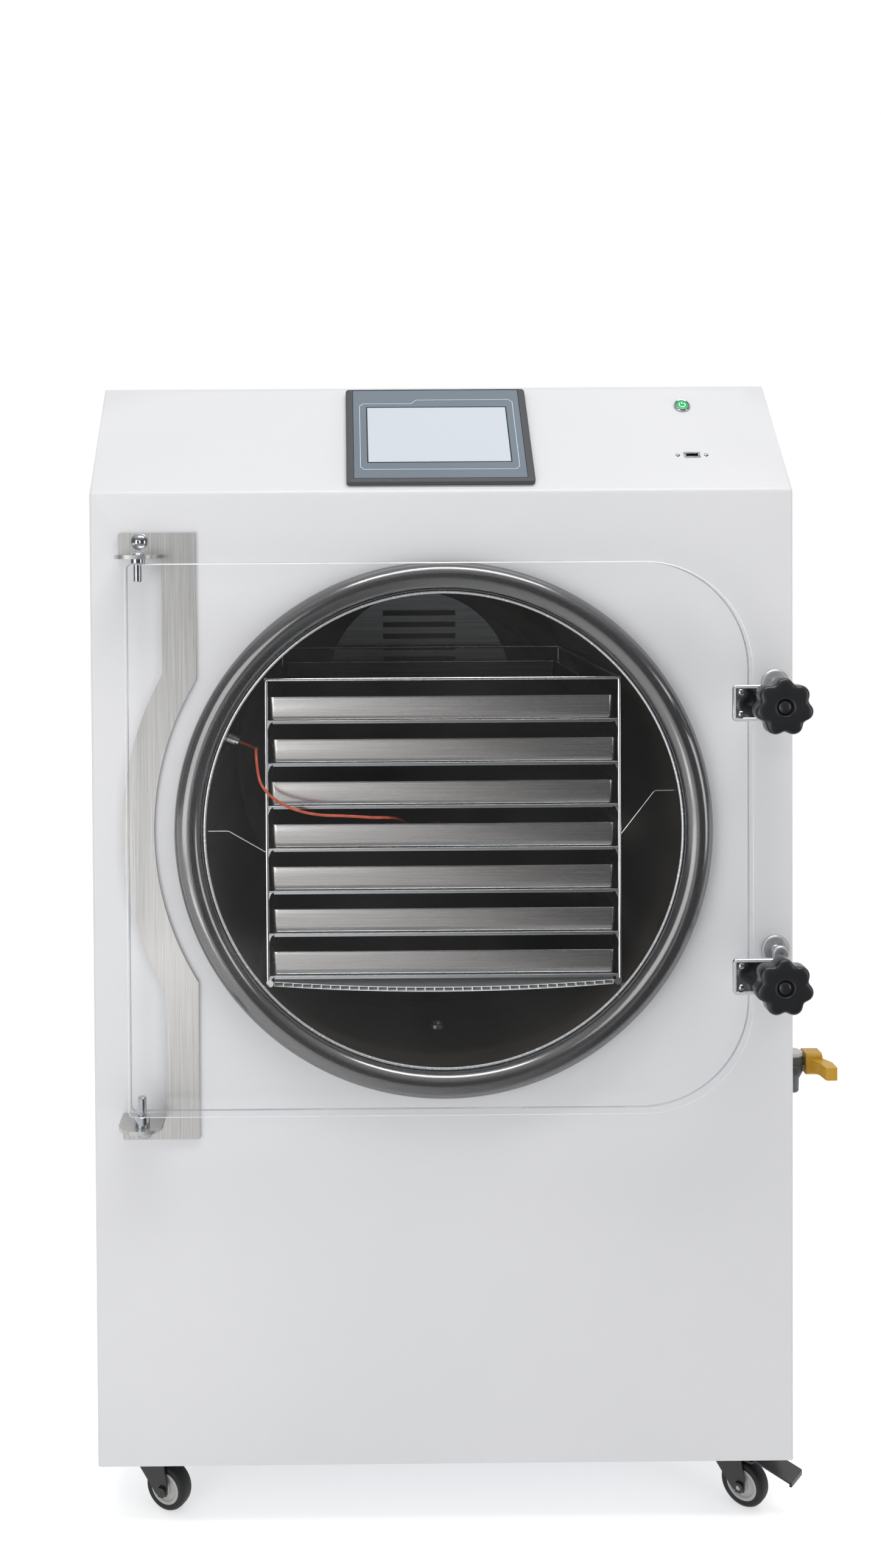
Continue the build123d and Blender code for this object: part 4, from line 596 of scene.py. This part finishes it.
# ---- Freeze-drying trays --------------------------------------------------------------------------
# Shallow pans pressed from 1 mm stainless sheet and folded at the corners, then belt-brushed along
# their width with 240 grit, whose 0.1 mm scratches are drawn 0.6 mm apart so that they show.
tray_steel = brushed("belt brushed tray sheet", "#b7b5b3", "#cecccb", 0.25, 1600, "x", 0.05, 0.55)


def rounded(corners, radii, steps):
    """A closed outline with each corner replaced by an arc of its radius."""
    corners = np.asarray(corners, float)
    radii = np.broadcast_to(np.asarray(radii, float), len(corners))
    return np.concatenate([corner_arc(corners[k - 1], corners[k], corners[(k + 1) % len(corners)], radius, steps)
                           for k, radius in enumerate(radii)])


def rounded_box(width, depth, radius):
    """A closed rounded rectangle round the origin, as points (x, y)."""
    w, d = width / 2, depth / 2
    return rounded([(-w, -d), (w, -d), (w, d), (-w, d)], radius, 6)


def lifted(outline, height):
    """A flat outline of (x, y) points at a height."""
    return np.column_stack([outline, np.full(len(outline), height)])


tray_width, tray_depth, tray_height, tray_wall, tray_draft, tray_middle = 368.0, 425.0, 25.0, 1.0, 1.5, 211.5
rim, foot = tray_height, tray_draft + tray_wall
# Each level is the tray's rounded rectangle set in by the first value and lifted by the second.
tray_levels = [(9.0, 0.0), (tray_draft + 2.2, 0.0), (tray_draft + 0.7, 0.5), (tray_draft + 0.1, 1.7),
               (0.05, rim - 2.2), (0.0, rim - 1.0), (0.12, rim - 0.3), (0.5, rim), (0.88, rim - 0.3),
               (tray_wall, rim - 1.0), (foot, 2.6), (foot + 0.6, 1.4), (foot + 2.0, tray_wall), (12.0, tray_wall)]
rings = [lifted(rounded_box(tray_width - 2 * inset, tray_depth - 2 * inset, max(6.0 - inset, 1.2)), lift)
         for inset, lift in tray_levels]
middles = np.zeros((len(rings[0]), 2))
# One outline goes up the outside, over a rolled rim, down the inside and across the floor to a point.
pan_points, pan_faces = net(np.stack([lifted(middles, 0.0), *rings, lifted(middles, tray_wall)]), close_columns=True)

# Inside, the sheet is painted dark and left unbrushed: painted shade, as the pans' insides lie in shadow under the
# shelves.
tray_inside_shade = brushed("tray inside in painted shade", "#2f3032", "#45474a", 0.42, 900, "x", 0.06, 0.2)
tray_slides = (-1.5, 1.4, -1.2, 0.4, -0.6, 0.8, 0.0)
for k, slide in enumerate(tray_slides):
    base = shelf_start - shelf_pitch * (k + 1)
    pan = (pan_points + (slide, tray_middle, base), pan_faces)
    tray = piece(f"tray_{k + 1}_pan", pan, "root", [tray_steel, tray_inside_shade], sharp=40,
                 replaced=(f"tray_{k + 1}",))
    middle = at((slide, tray_middle, base + tray_height - 0.8))
    centres = np.array([p.center for p in tray.data.polygons]) - middle
    ways = np.array([p.normal for p in tray.data.polygons])
    faces_in = (centres[:, :2] * ways[:, :2]).sum(1) < 0
    # The faces inside the pan, below its rim, take the dark finish of painted shade.
    inner = (centres[:, 2] < 0) & (faces_in | (ways[:, 2] > 0.7))
    tray.data.polygons.foreach_set("material_index", inner.astype(np.int32))

# Extruded twin-wall polypropylene, cut to size: milky, with its flutes open at the front edge.
twin_wall, tree, shader = new_finish("twin wall polypropylene", "#f1f3f3", Roughness=0.3, Transmission_Weight=0.1)
place = add(tree, "Mapping", {"Vector": add(tree, "TexCoord").outputs["Object"], "Scale": (450.0, 4.0, 450.0)})
ripple = add(tree, "TexNoise", {"Vector": place})
add(tree, "Bump", {"Height": ripple, "Strength": 0.15, "Distance": 0.0003}, shader.inputs["Normal"])
refined("drip_sheet", "drip_sheet_panel", "root", twin_wall)

# ---- Door hinge -----------------------------------------------------------------------------------
# Laser-cut from 4.5 mm stainless, brushed lengthways, edges broken by hand; its ears carry folded tabs
# that hold the door's turned pins. Domed screws fix it to the cabinet.
strap_steel = brushed("lengthways brushed strap", "#b4b3b2", "#d6d5d4", 0.3, 1500, "z", 0.08, 0.5, metal=0.75)
# Filed and polished by hand; its near-white colour is a painted highlight, so each edge shows as a thin bright line.
edge_painted_highlight, tree, shader = new_finish("edge with painted highlight", Metallic=0.35, Roughness=0.3)
mottled(tree, shader, 350.0, "#eceef0", "#ffffff")
refined("hinge_strap", "hinge_strap_plate", "root", [strap_steel, edge_painted_highlight], ease=0.8)

# Hard chrome over turned steel: near-mirror, blue-grey.
chrome = brushed("polished chrome plate", "#b6babf", "#c6cacf", 0.07, 300, depth=0.01, aniso=0.0)


def dome(radius, height, axis, centre, shank, recess=2.0, steps=48, way=1):
    """A domed screw head with a socket: a spherical cap of a height over a radius, hollowed at its middle.

    It rises from the centre along the axis, or against it where way is -1.
    """
    ball = (radius ** 2 + height ** 2) / (2 * height)
    reach = np.linspace(radius, recess, 9)
    rise = height - ball + np.sqrt(ball ** 2 - reach ** 2)
    outline = [(0.0, -shank), (radius * 0.55, -shank), (radius * 0.55, 0.0), (radius - 0.2, 0.0), *zip(reach, rise),
               (recess * 0.9, rise[-1] - recess * 0.8), (0.0, rise[-1] - recess)]
    return turned([(r, way * out) for r, out in outline], centre, axis, steps)


# Each pin has a head outside its 4 mm tab, a collar between the tab and the pane, and 19 mm in the pane.
hinge_x, hinge_y, tab_thick = -319.0, -35.0, 4.0
door_low, door_high = 470.0, 1047.0
pins = []
for way, tab, edge in ((1, 1052.0, door_high), (-1, 458.0, door_low)):
    collar = tab_thick + abs(tab - edge) - 0.3
    depth = 19.0 + abs(tab + way * tab_thick - edge)
    outline = [(0.0, -depth), (3.8, -depth), (4.5, 0.8 - depth), (4.5, -0.02 - collar), (7.7, -collar),
               (8.0, 0.3 - collar), (8.0, -4.3), (7.7, -4.02), (4.5, -4.0), (4.5, 0.0), (6.8, 0.0), (7.0, 0.3),
               (6.5, 1.6), (5.2, 2.7), (3.2, 3.4), (2.0, 3.5), (1.8, 2.0), (0.0, 1.6)]
    outline = [(r, way * z) for r, z in outline]
    pins.append(turned(outline, (hinge_x, hinge_y, tab + way * tab_thick), "z", 48))
piece("hinge_pins_turned", joined(*pins), "root", chrome, replaced=("hinge_pins",))

heads = [dome(9.0, 5.0, "y", (hinge_x - 2, -4.5, z), shank=4.5, way=-1) for z in (1069.5, 440.5)]
console_low, console_deep, console_tall = 1121.0, 112.0, 121.0
console_up = np.array((0.0, console_deep, console_tall)) / np.hypot(console_deep, console_tall)
console_out = np.array((0.0, -console_tall, console_deep)) / np.hypot(console_deep, console_tall)


def on_console(points, x, up):
    """Points drawn flat (across, up, out) laid on the sloped console at a place across and up it."""
    points = np.asarray(points, float)
    base = np.array((x, 0.0, console_low)) + up * console_up
    return base + points[..., :1] * (1.0, 0.0, 0.0) + points[..., 1:2] * console_up + points[..., 2:3] * console_out


for side in (-1, 1):
    points, faces = dome(2.6, 1.2, "z", (0, 0, 0), shank=0.4, recess=0.7, steps=24)
    heads.append((on_console(points, 275.7 + side * 15.5, 53.5), faces))
piece("panel_screw_heads", joined(*heads), "root", chrome, replaced=("panel_screws",))

# ---- Door pane ------------------------------------------------------------------------------------
# Cast acrylic 20 mm thick, routed to shape, its edges chamfered and flame-polished, so the sheet itself
# is all but invisible; its rims are painted white as thin lines of painted highlight, its back chamfer grey as
# painted shade.
door_left, door_right, door_front, door_back = -332.0, 320.0, -45.0, -25.0


def see_through(name, code, cover, gloss_rough):
    """Clear plastic: a see-through shader under a gloss, with a share of matt colour over both: faint haze at a small
    share, painted light on the edges at a large one.

    The gloss rises from a small head-on share with the fifth power of the slant, the same on both faces.
    """
    finish, tree, shader = new_finish(name, code, Roughness=0.35)
    clear = add(tree, "BsdfTransparent", {"Color": colour("#ffffff")})
    gloss = add(tree, "BsdfGlossy", {"Color": colour("#ffffff"), "Roughness": gloss_rough})
    slant = add(tree, "LayerWeight", {"Blend": 0.5}).outputs["Facing"]
    slant = add(tree, "Math", {0: slant, 1: 5.0}, operation="POWER")
    share = add(tree, "MapRange", {"Value": slant, "To Min": 0.005, "To Max": 0.3})
    skin = add(tree, "MixShader", {0: share, 1: clear, 2: gloss})
    place = add(tree, "TexCoord").outputs["Object"]
    haze = add(tree, "TexNoise", {"Vector": place, "Scale": 9.0, "Detail": 4.0})
    veil = add(tree, "MapRange", {"Value": haze, "From Min": 0.3, "From Max": 0.7,
                                  "To Min": cover * 0.6, "To Max": cover * 1.4})
    add(tree, "MixShader", {0: veil, 1: skin, 2: shader},
        tree.nodes["Material Output"].inputs["Surface"])
    return finish


acrylic = see_through("cast acrylic sheet", "#e9e9ea", 0.009, 0.1)
# The rim's large pale matt share is a painted highlight along the front chamfers.
acrylic_rim_highlight = see_through("flame polished acrylic rim, painted highlight", "#ffffff", 0.75, 0.1)
acrylic_side = see_through("routed acrylic side", "#e9eef4", 0.2, 0.12)
# The back edge's grey matt share is painted shade along the back chamfer.
acrylic_back_shade = see_through("chamfered acrylic back edge, painted shade", "#9aa1aa", 0.6, 0.12)


def upright(outline, depth):
    """A flat outline of (x, z) points that faces the front at a depth."""
    return np.insert(outline, 1, depth, axis=1)


def door_outline(inset):
    """The door's outline, drawn in by an inset: small corners at the hinge side, large ones at the latches."""
    left, right, low, high = door_left + inset, door_right - inset, door_low + inset, door_high - inset
    small, large = 6 - inset, 115 - inset
    return rounded([(left, low), (right, low), (right, high), (left, high)], [small, large, large, small], 24)


levels = [(1.3, door_front), (0.9, door_front + 0.12), (0.15, door_front + 0.9), (0.0, door_front + 1.4),
          (0.0, door_back - 1.4), (0.15, door_back - 0.9), (0.9, door_back - 0.12), (1.3, door_back)]
rings = np.stack([upright(door_outline(inset), depth) for inset, depth in levels])
points, faces = net(rings, close_columns=True)
count = rings.shape[1]
faces = faces + [tuple(range(count))] + [tuple(range(len(points) - count, len(points)))[::-1]]
pane = piece("door_pane_sheet", (points, faces), "door", [acrylic, acrylic_rim_highlight, acrylic_side, acrylic_back_shade],
             sharp=30, replaced=("door_pane",))
# The two large faces are the first finish; the edge faces are rim, then side or back edge by their depth.
marks = np.array([0 if len(p.vertices) > 4 else 1 for p in pane.data.polygons], np.int32)
middles = np.array([p.center[1] for p in pane.data.polygons])
side_band = np.abs(middles - at((0, (door_front + door_back) / 2, 0))[1]) < 0.002
marks[(marks == 1) & side_band] = 2
marks[(marks == 1) & (middles > at((0, door_back - 3.0, 0))[1])] = 3
pane.data.polygons.foreach_set("material_index", marks)

# ---- Door latches ---------------------------------------------------------------------------------
# Each latch is a pressed and polished plate screwed to the pane, a steel spindle with a hooked cam
# behind it, and a seven-lobed phenolic hand knob; a turned keeper stud stands on the cabinet.
mirror_steel = brushed("mirror polished plate", "#c9ccd1", "#eceef1", 0.12, 500, depth=0.02, aniso=0.0)
latch_heights = {"upper": 899.0, "lower": 614.0}
latch_x, plate_front, plate_floor = 339.5, -49.0, -47.8
plate_left, plate_width, plate_height = 297.0, 55.0, 38.0
plate_levels = ((0.5, door_front), (0.0, -45.5), (0.0, plate_floor), (0.4, -48.6), (1.0, plate_front),
                (3.0, plate_front), (3.3, -48.9), (3.7, -48.3), (4.0, -47.9), (14.0, plate_floor))
plates = []
for z in latch_heights.values():
    middle = np.array((plate_left + plate_width / 2, z))
    rings = [upright(rounded_box(plate_width - 2 * inset, plate_height - 2 * inset, max(4.0 - inset, 1.0)) + middle,
                     depth) for inset, depth in plate_levels]
    middles = np.tile(middle, (len(rings[0]), 1))
    rings = [upright(middles, door_front), *rings, upright(middles, plate_floor)]
    plates.append(net(np.stack(rings), close_columns=True))
pressings = piece("latch_plate_pressings", joined(*plates), "door", [mirror_steel, edge_painted_highlight],
                  replaced=("latch_plates",))
# Each plate's flat front rim takes the near-white edge finish, a painted highlight round the plate; the chamfer and
# the recess stay mirror steel.
rim_line = at((0, plate_front + 0.12, 0))[1]
pressings.data.polygons.foreach_set("material_index", [int(p.center[1] < rim_line) for p in pressings.data.polygons])

heads = [dome(3.4, 1.6, "y", (plate_left + 9.0, plate_floor, z + up), shank=1.5, recess=0.9, steps=28, way=-1)
         for z in latch_heights.values() for up in (-11.5, 11.5)]
piece("latch_screw_heads", joined(*heads), "door", chrome, replaced=("latch_plate_screws",))

# Compression-moulded phenolic: black, satin on the lobes, glossier where hands rub it.
phenolic, tree, shader = new_finish("moulded phenolic", "#1f2023", Coat_Weight=0.5, Coat_Roughness=0.15)
place = add(tree, "TexCoord").outputs["Object"]
rubbed = add(tree, "TexNoise", {"Vector": place, "Scale": 55.0, "Detail": 3.0})
add(tree, "MapRange", {"Value": rubbed, "To Min": 0.3, "To Max": 0.48}, shader.inputs["Roughness"])
grained(tree, shader, 1400.0, 0.12, 0.0002)
knob_front = -90.0


def star(z):
    """A star knob: an outline of (radius, depth, share of the lobes) turned about the spindle.

    The radius at angle a is the outline's plus 2.3 mm * share * (cos 7a - 0.13 cos 14a), so the lobes
    are round and the valleys between them shallow. The first lobe points up, and a moulded bead and a
    domed cap fill the hub.
    """
    outline = np.array([
        (0.0, 40.4, 0), (5.2, 40.4, 0), (5.2, 38.8, 0), (12.2, 38.8, 0), (13.0, 38.0, 0), (13.6, 30.0, 0),
        (15.2, 23.0, 0.05), (17.0, 20.9, 0.15), (22.0, 20.4, 0.7), (25.6, 20.1, 0.95), (27.0, 19.3, 1.0),
        (27.75, 18.0, 1.0), (27.85, 12.0, 1.0), (27.75, 5.0, 1.0), (27.3, 3.0, 1.0), (26.2, 1.5, 0.98),
        (24.4, 0.65, 0.9), (21.0, 0.25, 0.6), (16.0, 0.2, 0.25), (12.0, 0.2, 0.0), (10.3, 0.3, 0), (9.9, 0.05, 0),
        (9.3, 0.0, 0), (8.8, 0.3, 0), (8.5, 1.1, 0), (8.2, 3.2, 0), (7.7, 3.8, 0), (7.3, 3.2, 0), (6.6, 2.4, 0),
        (5.5, 1.7, 0), (4.0, 1.15, 0), (2.0, 0.85, 0), (0.0, 0.8, 0),
    ])
    turn = np.linspace(0, 2 * np.pi, 210, endpoint=False)[:, None]
    swing = 2.3 * (np.cos(7 * turn) - 0.13 * np.cos(14 * turn))
    radius = outline[:, 0] + outline[:, 2] * swing
    depth = np.broadcast_to(knob_front + outline[:, 1], radius.shape)
    points = np.stack([latch_x + radius * np.sin(turn), depth, z + radius * np.cos(turn)], -1)
    return net(points, close_rows=True)


for label, z in latch_heights.items():
    piece(f"knob_{label}_moulding", star(z), f"{label}_latch", phenolic, sharp=42,
          replaced=(f"knob_{label}",))
    refined(f"spindle_{label}", f"spindle_{label}_steel", f"{label}_latch", chrome, ease=0.3)

# The keepers stand 22 mm from the spindles, up and to the right at 45 degrees.
keeper_away = 22 * np.sqrt(0.5)
keeper_outline = [(0.0, 0.0), (14.6, 0.0), (15.0, -0.4), (15.0, -2.2), (14.4, -3.0), (12.8, -3.9), (5.2, -4.0),
                  (4.5, -4.7), (4.5, -18.4), (8.6, -18.5), (9.0, -18.9), (9.0, -20.8), (8.6, -21.4), (7.2, -22.3),
                  (6.6, -22.5), (3.0, -22.5), (2.6, -20.6), (0.0, -20.0)]
keepers = [turned(keeper_outline, (latch_x + keeper_away, 0.0, z + keeper_away), "y", 48)
           for z in latch_heights.values()]
satin_zinc = brushed("satin zinc plate", "#c3c5c8", "#d6d8da", 0.45, 400, depth=0.05, aniso=0.0)
piece("latch_keeper_studs", joined(*keepers), "root", satin_zinc, replaced=("latch_keepers",))

# ---- Console --------------------------------------------------------------------------------------
# Snapped into the sloped sheet: a touch screen in a moulded frame, a lit steel push button and a socket.
# The screen's membrane is printed grey-blue behind clear film, with a thin pale line round its window.
bezel_plastic, tree, shader = new_finish("spark eroded bezel plastic", "#4a4c50", Roughness=0.55)
grained(tree, shader, 1300.0, 0.2, 0.0002)
screen_mid = 83.0
face_up = screen_mid + 2.0
# The frame's rounded rectangles: width, height, corner radius, how far out, and how far up the slope.
frame_levels = [(186, 132, 2, -34, 0), (186, 132, 2, 0, 0), (201.4, 147.4, 3.7, 0.0, 0), (202, 148, 4, 0.4, 0),
                (202, 148, 4, 4.8, 0), (201.2, 147.2, 3.6, 5.6, 0), (199.4, 145.4, 3.0, 6.0, 0),
                (187.0, 141.0, 1.2, 6.0, 2), (186.2, 140.2, 0.9, 5.7, 2), (186, 140, 0.8, 3.2, 2),
                (186, 140, 0.8, 2.6, 2), (170, 120, 0.8, 2.4, 2)]
rings = np.stack([on_console(lifted(rounded_box(width, height, radius) + (0, shift), out), 0, screen_mid)
                  for width, height, radius, out, shift in frame_levels])
last = np.broadcast_to(on_console((0, 2, 2.4), 0, screen_mid), rings[:1].shape)
first = np.broadcast_to(on_console((0, 0, -34), 0, screen_mid), rings[:1].shape)
piece("screen_frame", net(np.concatenate([first, rings, last]), close_columns=True), "root", bezel_plastic,
      replaced=("screen_bezel",))


def flat_band(outer, inner, out):
    """A flat ring between two outlines with the same number of points, at a height on the screen."""
    return net(on_console(np.stack([lifted(outer, out), lifted(inner, out)]), 0, face_up), close_columns=True)


# Printed polyester overlay under a hard coat: satin grey-blue, flat as glass.
overlay, tree, shader = new_finish("printed polyester overlay", Roughness=0.22, Coat_Weight=0.4, Coat_Roughness=0.08)
mottled(tree, shader, 6.0, "#6f7c87", "#7f8c97")
line_ink = new_finish("pale screen ink", "#dfe5ea", Roughness=0.4)[0]
black_edge = new_finish("black screen mask", "#33383e", Roughness=0.25)[0]

# The lit panel: a cool white backlight, a little uneven, behind matt glass.
lit_glass, tree, shader = new_finish("backlit matt glass", "#bfc5cc", Roughness=0.2, Emission_Strength=0.22)
mottled(tree, shader, 8.0, "#cdd8e2", "#e6eef5", socket="Emission Color")

face = rounded_box(185.4, 139.4, 0.8)
window = rounded_box(157, 89, 0.8) + (0, -2)
glass = rounded_box(154, 86, 0.4) + (0, -2)
display = on_console(lifted(glass, 5.70), 0, face_up)
piece("screen_overlay", flat_band(face, window, 5.72), "root", overlay, sharp=0,
      replaced=("screen_face",))
piece("screen_mask", flat_band(window, glass, 5.72), "root", black_edge, sharp=0)
piece("screen_display", (display, [tuple(range(len(display)))]), "root", lit_glass, sharp=0)

# The pale line runs round the window with a step in its upper edge.
line_outer = np.array([(-82, -57), (82, -57), (86, -53), (86, 50), (82, 54), (-22, 54), (-28, 48), (-82, 48),
                       (-86, 44), (-86, -53)], float)
ahead = np.roll(line_outer, -1, 0) - line_outer
ahead /= np.linalg.norm(ahead, axis=1, keepdims=True)
behind = np.roll(ahead, 1, 0)
inward = np.stack([-(ahead + behind)[:, 1], (ahead + behind)[:, 0]], -1)
inward /= np.linalg.norm(inward, axis=1, keepdims=True)
piece("screen_border_line", flat_band(line_outer, line_outer + 0.7 * inward, 5.80), "root", line_ink,
      sharp=0)

button_centre = (277.0, 132.0)
ring_outline = [(7.3, -20.0), (7.75, -20.0), (7.75, -6.0), (10.25, -6.0), (10.25, -2.0), (7.75, -2.0), (7.75, 0.0),
                (9.2, 0.0), (9.25, 0.2), (9.25, 1.6), (9.0, 2.3), (8.5, 2.8), (8.1, 3.0), (7.6, 2.9), (7.35, 2.6)]
points, faces = turned(ring_outline, (0, 0, 0), "z", 64)
piece("power_button_bezel", (on_console(points, *button_centre), faces), "root", chrome,
      replaced=("power_button_ring",))

# Moulded polycarbonate cap over a green lamp, with a lit ring-and-bar mark round its middle.
button_glow, tree, shader = new_finish("lit green polycarbonate", "#2c8a52", Roughness=0.25, Emission_Strength=0.55)
mottled(tree, shader, 260.0, "#1f8a4c", "#49c07c", socket="Emission Color")
button_mark = new_finish("pale lit mark", "#d9f4e2", Roughness=0.3, Emission_Color=colour("#c9f5d8"),
                         Emission_Strength=0.5)[0]
cap_outline = [(0.0, -17.0), (7.15, -17.0), (7.2, -16.8), (7.2, 1.8), (6.9, 2.3), (6.3, 2.55), (4.0, 2.6),
               (0.0, 2.6)]
points, faces = turned(cap_outline, (0, 0, 0), "z", 64)
piece("power_button_lens", (on_console(points, *button_centre), faces), "power_button", button_glow,
      replaced=("power_button_cap",))
mark_out = 2.66
turn = np.radians(np.linspace(125, 415, 41))
arc = np.stack([np.stack([r * np.cos(turn), r * np.sin(turn), np.full(len(turn), mark_out)], -1) for r in (3.0, 3.9)])
stroke = on_console([(x, up, mark_out) for x, up in ((-0.45, 1.2), (0.45, 1.2), (0.45, 4.6), (-0.45, 4.6))],
                    *button_centre)
mark = joined(net(on_console(arc, *button_centre)), (stroke, [(0, 1, 2, 3)]))
piece("power_button_mark", mark, "power_button", button_mark, sharp=0)

nickel = brushed("nickel plated shell", "#a4a8ad", "#cfd2d6", 0.2, 400, depth=0.03, aniso=0.0)
refined("usb_socket", "usb_socket_shell", "root", nickel, ease=0.15)

# ---- Drain valve ----------------------------------------------------------------------------------
# A moulded ball valve on the right side: a grey body with a moulding seam, a tapered hose outlet below
# and an ochre lever pressed on its stem.
valve_x, valve_y, valve_low, valve_high, spigot_z, stem_z = 391.0, 60.0, 453.0, 498.0, 482.0, 486.0
# The outlet is moulded in a bluer grey than the body, and a pale cap closes the top.
valve_grey, tree, shader = new_finish("grey moulded polypropylene", Roughness=0.42)
part = add(tree, "SeparateXYZ", {0: add(tree, "TexCoord").outputs["Object"]})
climb = add(tree, "MapRange", {"Value": part.outputs["Z"], "From Min": valve_low / 1000,
                               "From Max": valve_high / 1000})
shade = add(tree, "ValToRGB", {"Fac": climb}, shader.inputs["Base Color"])
for level in (0.9, 0.94):
    shade.color_ramp.elements.new(level)
for stop, level, code in zip(shade.color_ramp.elements, (0.3, 0.5, 0.9, 0.94),
                             ("#6d727b", "#505254", "#565858", "#c9c6c4")):
    stop.position, stop.color = level, colour(code)
grained(tree, shader, 900.0, 0.15, 0.0002)
body_outline = [(0.0, valve_low), (4.6, valve_low), (6.8, 453.2), (7.2, 454.2), (7.9, 455.0), (7.3, 456.0),
                (7.9, 457.2), (7.4, 458.2), (8.0, 459.4), (8.0, 467.0), (8.4, 469.0), (10.3, 472.6), (11.6, 475.4),
                (12.0, 477.0), (12.0, 483.6), (11.5, 484.1), (11.5, 485.3), (12.0, 485.8), (12.0, 493.0),
                (11.7, 493.3), (11.9, 493.6), (11.9, 496.8), (11.4, 497.8), (10.4, valve_high), (0.0, valve_high)]
spigot = [(0.0, 375.0), (12.0, 375.0), (12.0, 377.6), (11.6, 378.0), (9.0, 378.0), (9.0, valve_x), (0.0, valve_x)]
stem = [(0.0, valve_x), (4.0, valve_x), (4.0, 407.1), (3.6, 407.5), (0.0, 407.5)]
valve = joined(turned(body_outline, (valve_x, valve_y, 0), "z", 48), turned(spigot, (0, valve_y, spigot_z), "x", 36),
               turned(stem, (0, valve_y, stem_z), "x", 24))
piece("drain_valve_moulding", valve, "root", valve_grey, replaced=("drain_valve_body",))
ochre, tree, shader = new_finish("ochre moulded nylon", Roughness=0.38)
mottled(tree, shader, 40.0, "#b98a1c", "#d6a838", detail=4.0)
grained(tree, shader, 1000.0, 0.12, 0.0002)
refined("valve_lever", "valve_lever_moulding", "drain_lever", ochre, ease=1.0)

# ---- Casters --------------------------------------------------------------------------------------
# Four swivel casters: a pressed fork under a ball race, e-coated black, a rubber tyre on a nylon hub,
# and a nutted axle; the front right one has a foot pedal on a rivet through its cheeks.
e_coat, tree, shader = new_finish("black e-coated steel", "#1e1f21", Roughness=0.34, Coat_Weight=0.25,
                                  Coat_Roughness=0.2)
grained(tree, shader, 420.0, 0.1, 0.0003, detail=3.0)
tyre_rubber, tree, shader = new_finish("black tyre rubber", Roughness=0.62)
mottled(tree, shader, 180.0, "#141415", "#262728", detail=5.0)
grained(tree, shader, 180.0, 0.2, 0.0003, detail=5.0)
hub_nylon, tree, shader = new_finish("pale grey nylon hub", "#c4c5c2", Roughness=0.45)
grained(tree, shader, 800.0, 0.1, 0.0002)
zinc = brushed("zinc plated bolt", "#c9cccf", "#eceded", 0.3, 500, depth=0.04, aniso=0.0)

caster_places = {"front_left": (-320.0, 55.0, -27.0), "front_right": (320.0, 55.0, -40.0),
                 "rear_left": (-320.0, 740.0, 118.0), "rear_right": (320.0, 740.0, 64.0)}


def at_caster(shape, name):
    """A shape drawn at a swivel axis, trailing to the right, turned and moved to its caster."""
    points, faces = shape
    x, y, angle = caster_places[name]
    c, s = np.cos(np.radians(angle)), np.sin(np.radians(angle))
    across = x + points[:, 0] * c - points[:, 1] * s
    back = y + points[:, 0] * s + points[:, 1] * c
    return np.stack([across, back, points[:, 2]], -1), faces


tyre_side = [(17.4, -9.0), (19.5, -9.2), (21.0, -9.9), (22.4, -9.4), (23.6, -8.3), (24.6, -6.2), (25.0, -3.4)]
hub_side = [(3.1, -11.0), (6.6, -11.0), (7.0, -10.6), (7.4, -7.4), (8.2, -7.0), (12.4, -7.0), (13.4, -7.6),
            (14.0, -9.0), (14.6, -9.4), (17.2, -9.2), (17.5, -8.8)]
axle = (18.0, 0.0, 25.0)
nut = [(0.0, 14.5), (5.0, 14.5), (5.3, 14.8), (5.3, 16.6), (4.6, 17.4), (2.6, 17.5), (2.4, 17.5), (0.0, 17.5)]
for name in caster_places:
    for label, half_outline, finish in (("tyre", tyre_side, tyre_rubber), ("hub", hub_side, hub_nylon)):
        outline = half_outline + [(radius, -along) for radius, along in half_outline[::-1]]
        piece(f"caster_{label}_{name}", at_caster(turned(outline, axle, "y", 72), name), f"wheel_{name}", finish,
              replaced=(f"caster_wheel_{name}",))
    refined(f"caster_fork_{name}", f"caster_fork_{name}_pressing", f"swivel_{name}", e_coat, ease=0.5)
    nuts = [turned([(radius, side * along) for radius, along in nut], axle, "y", 6, start=np.pi / 6)
            for side in (-1, 1)]
    piece(f"caster_axle_nuts_{name}", at_caster(joined(*nuts), name), f"swivel_{name}", zinc, sharp=25)
refined("caster_plates", "caster_top_plates", "root", e_coat, ease=0.5)
refined("brake_pedal", "brake_pedal_pressing", "brake", e_coat, ease=0.6)
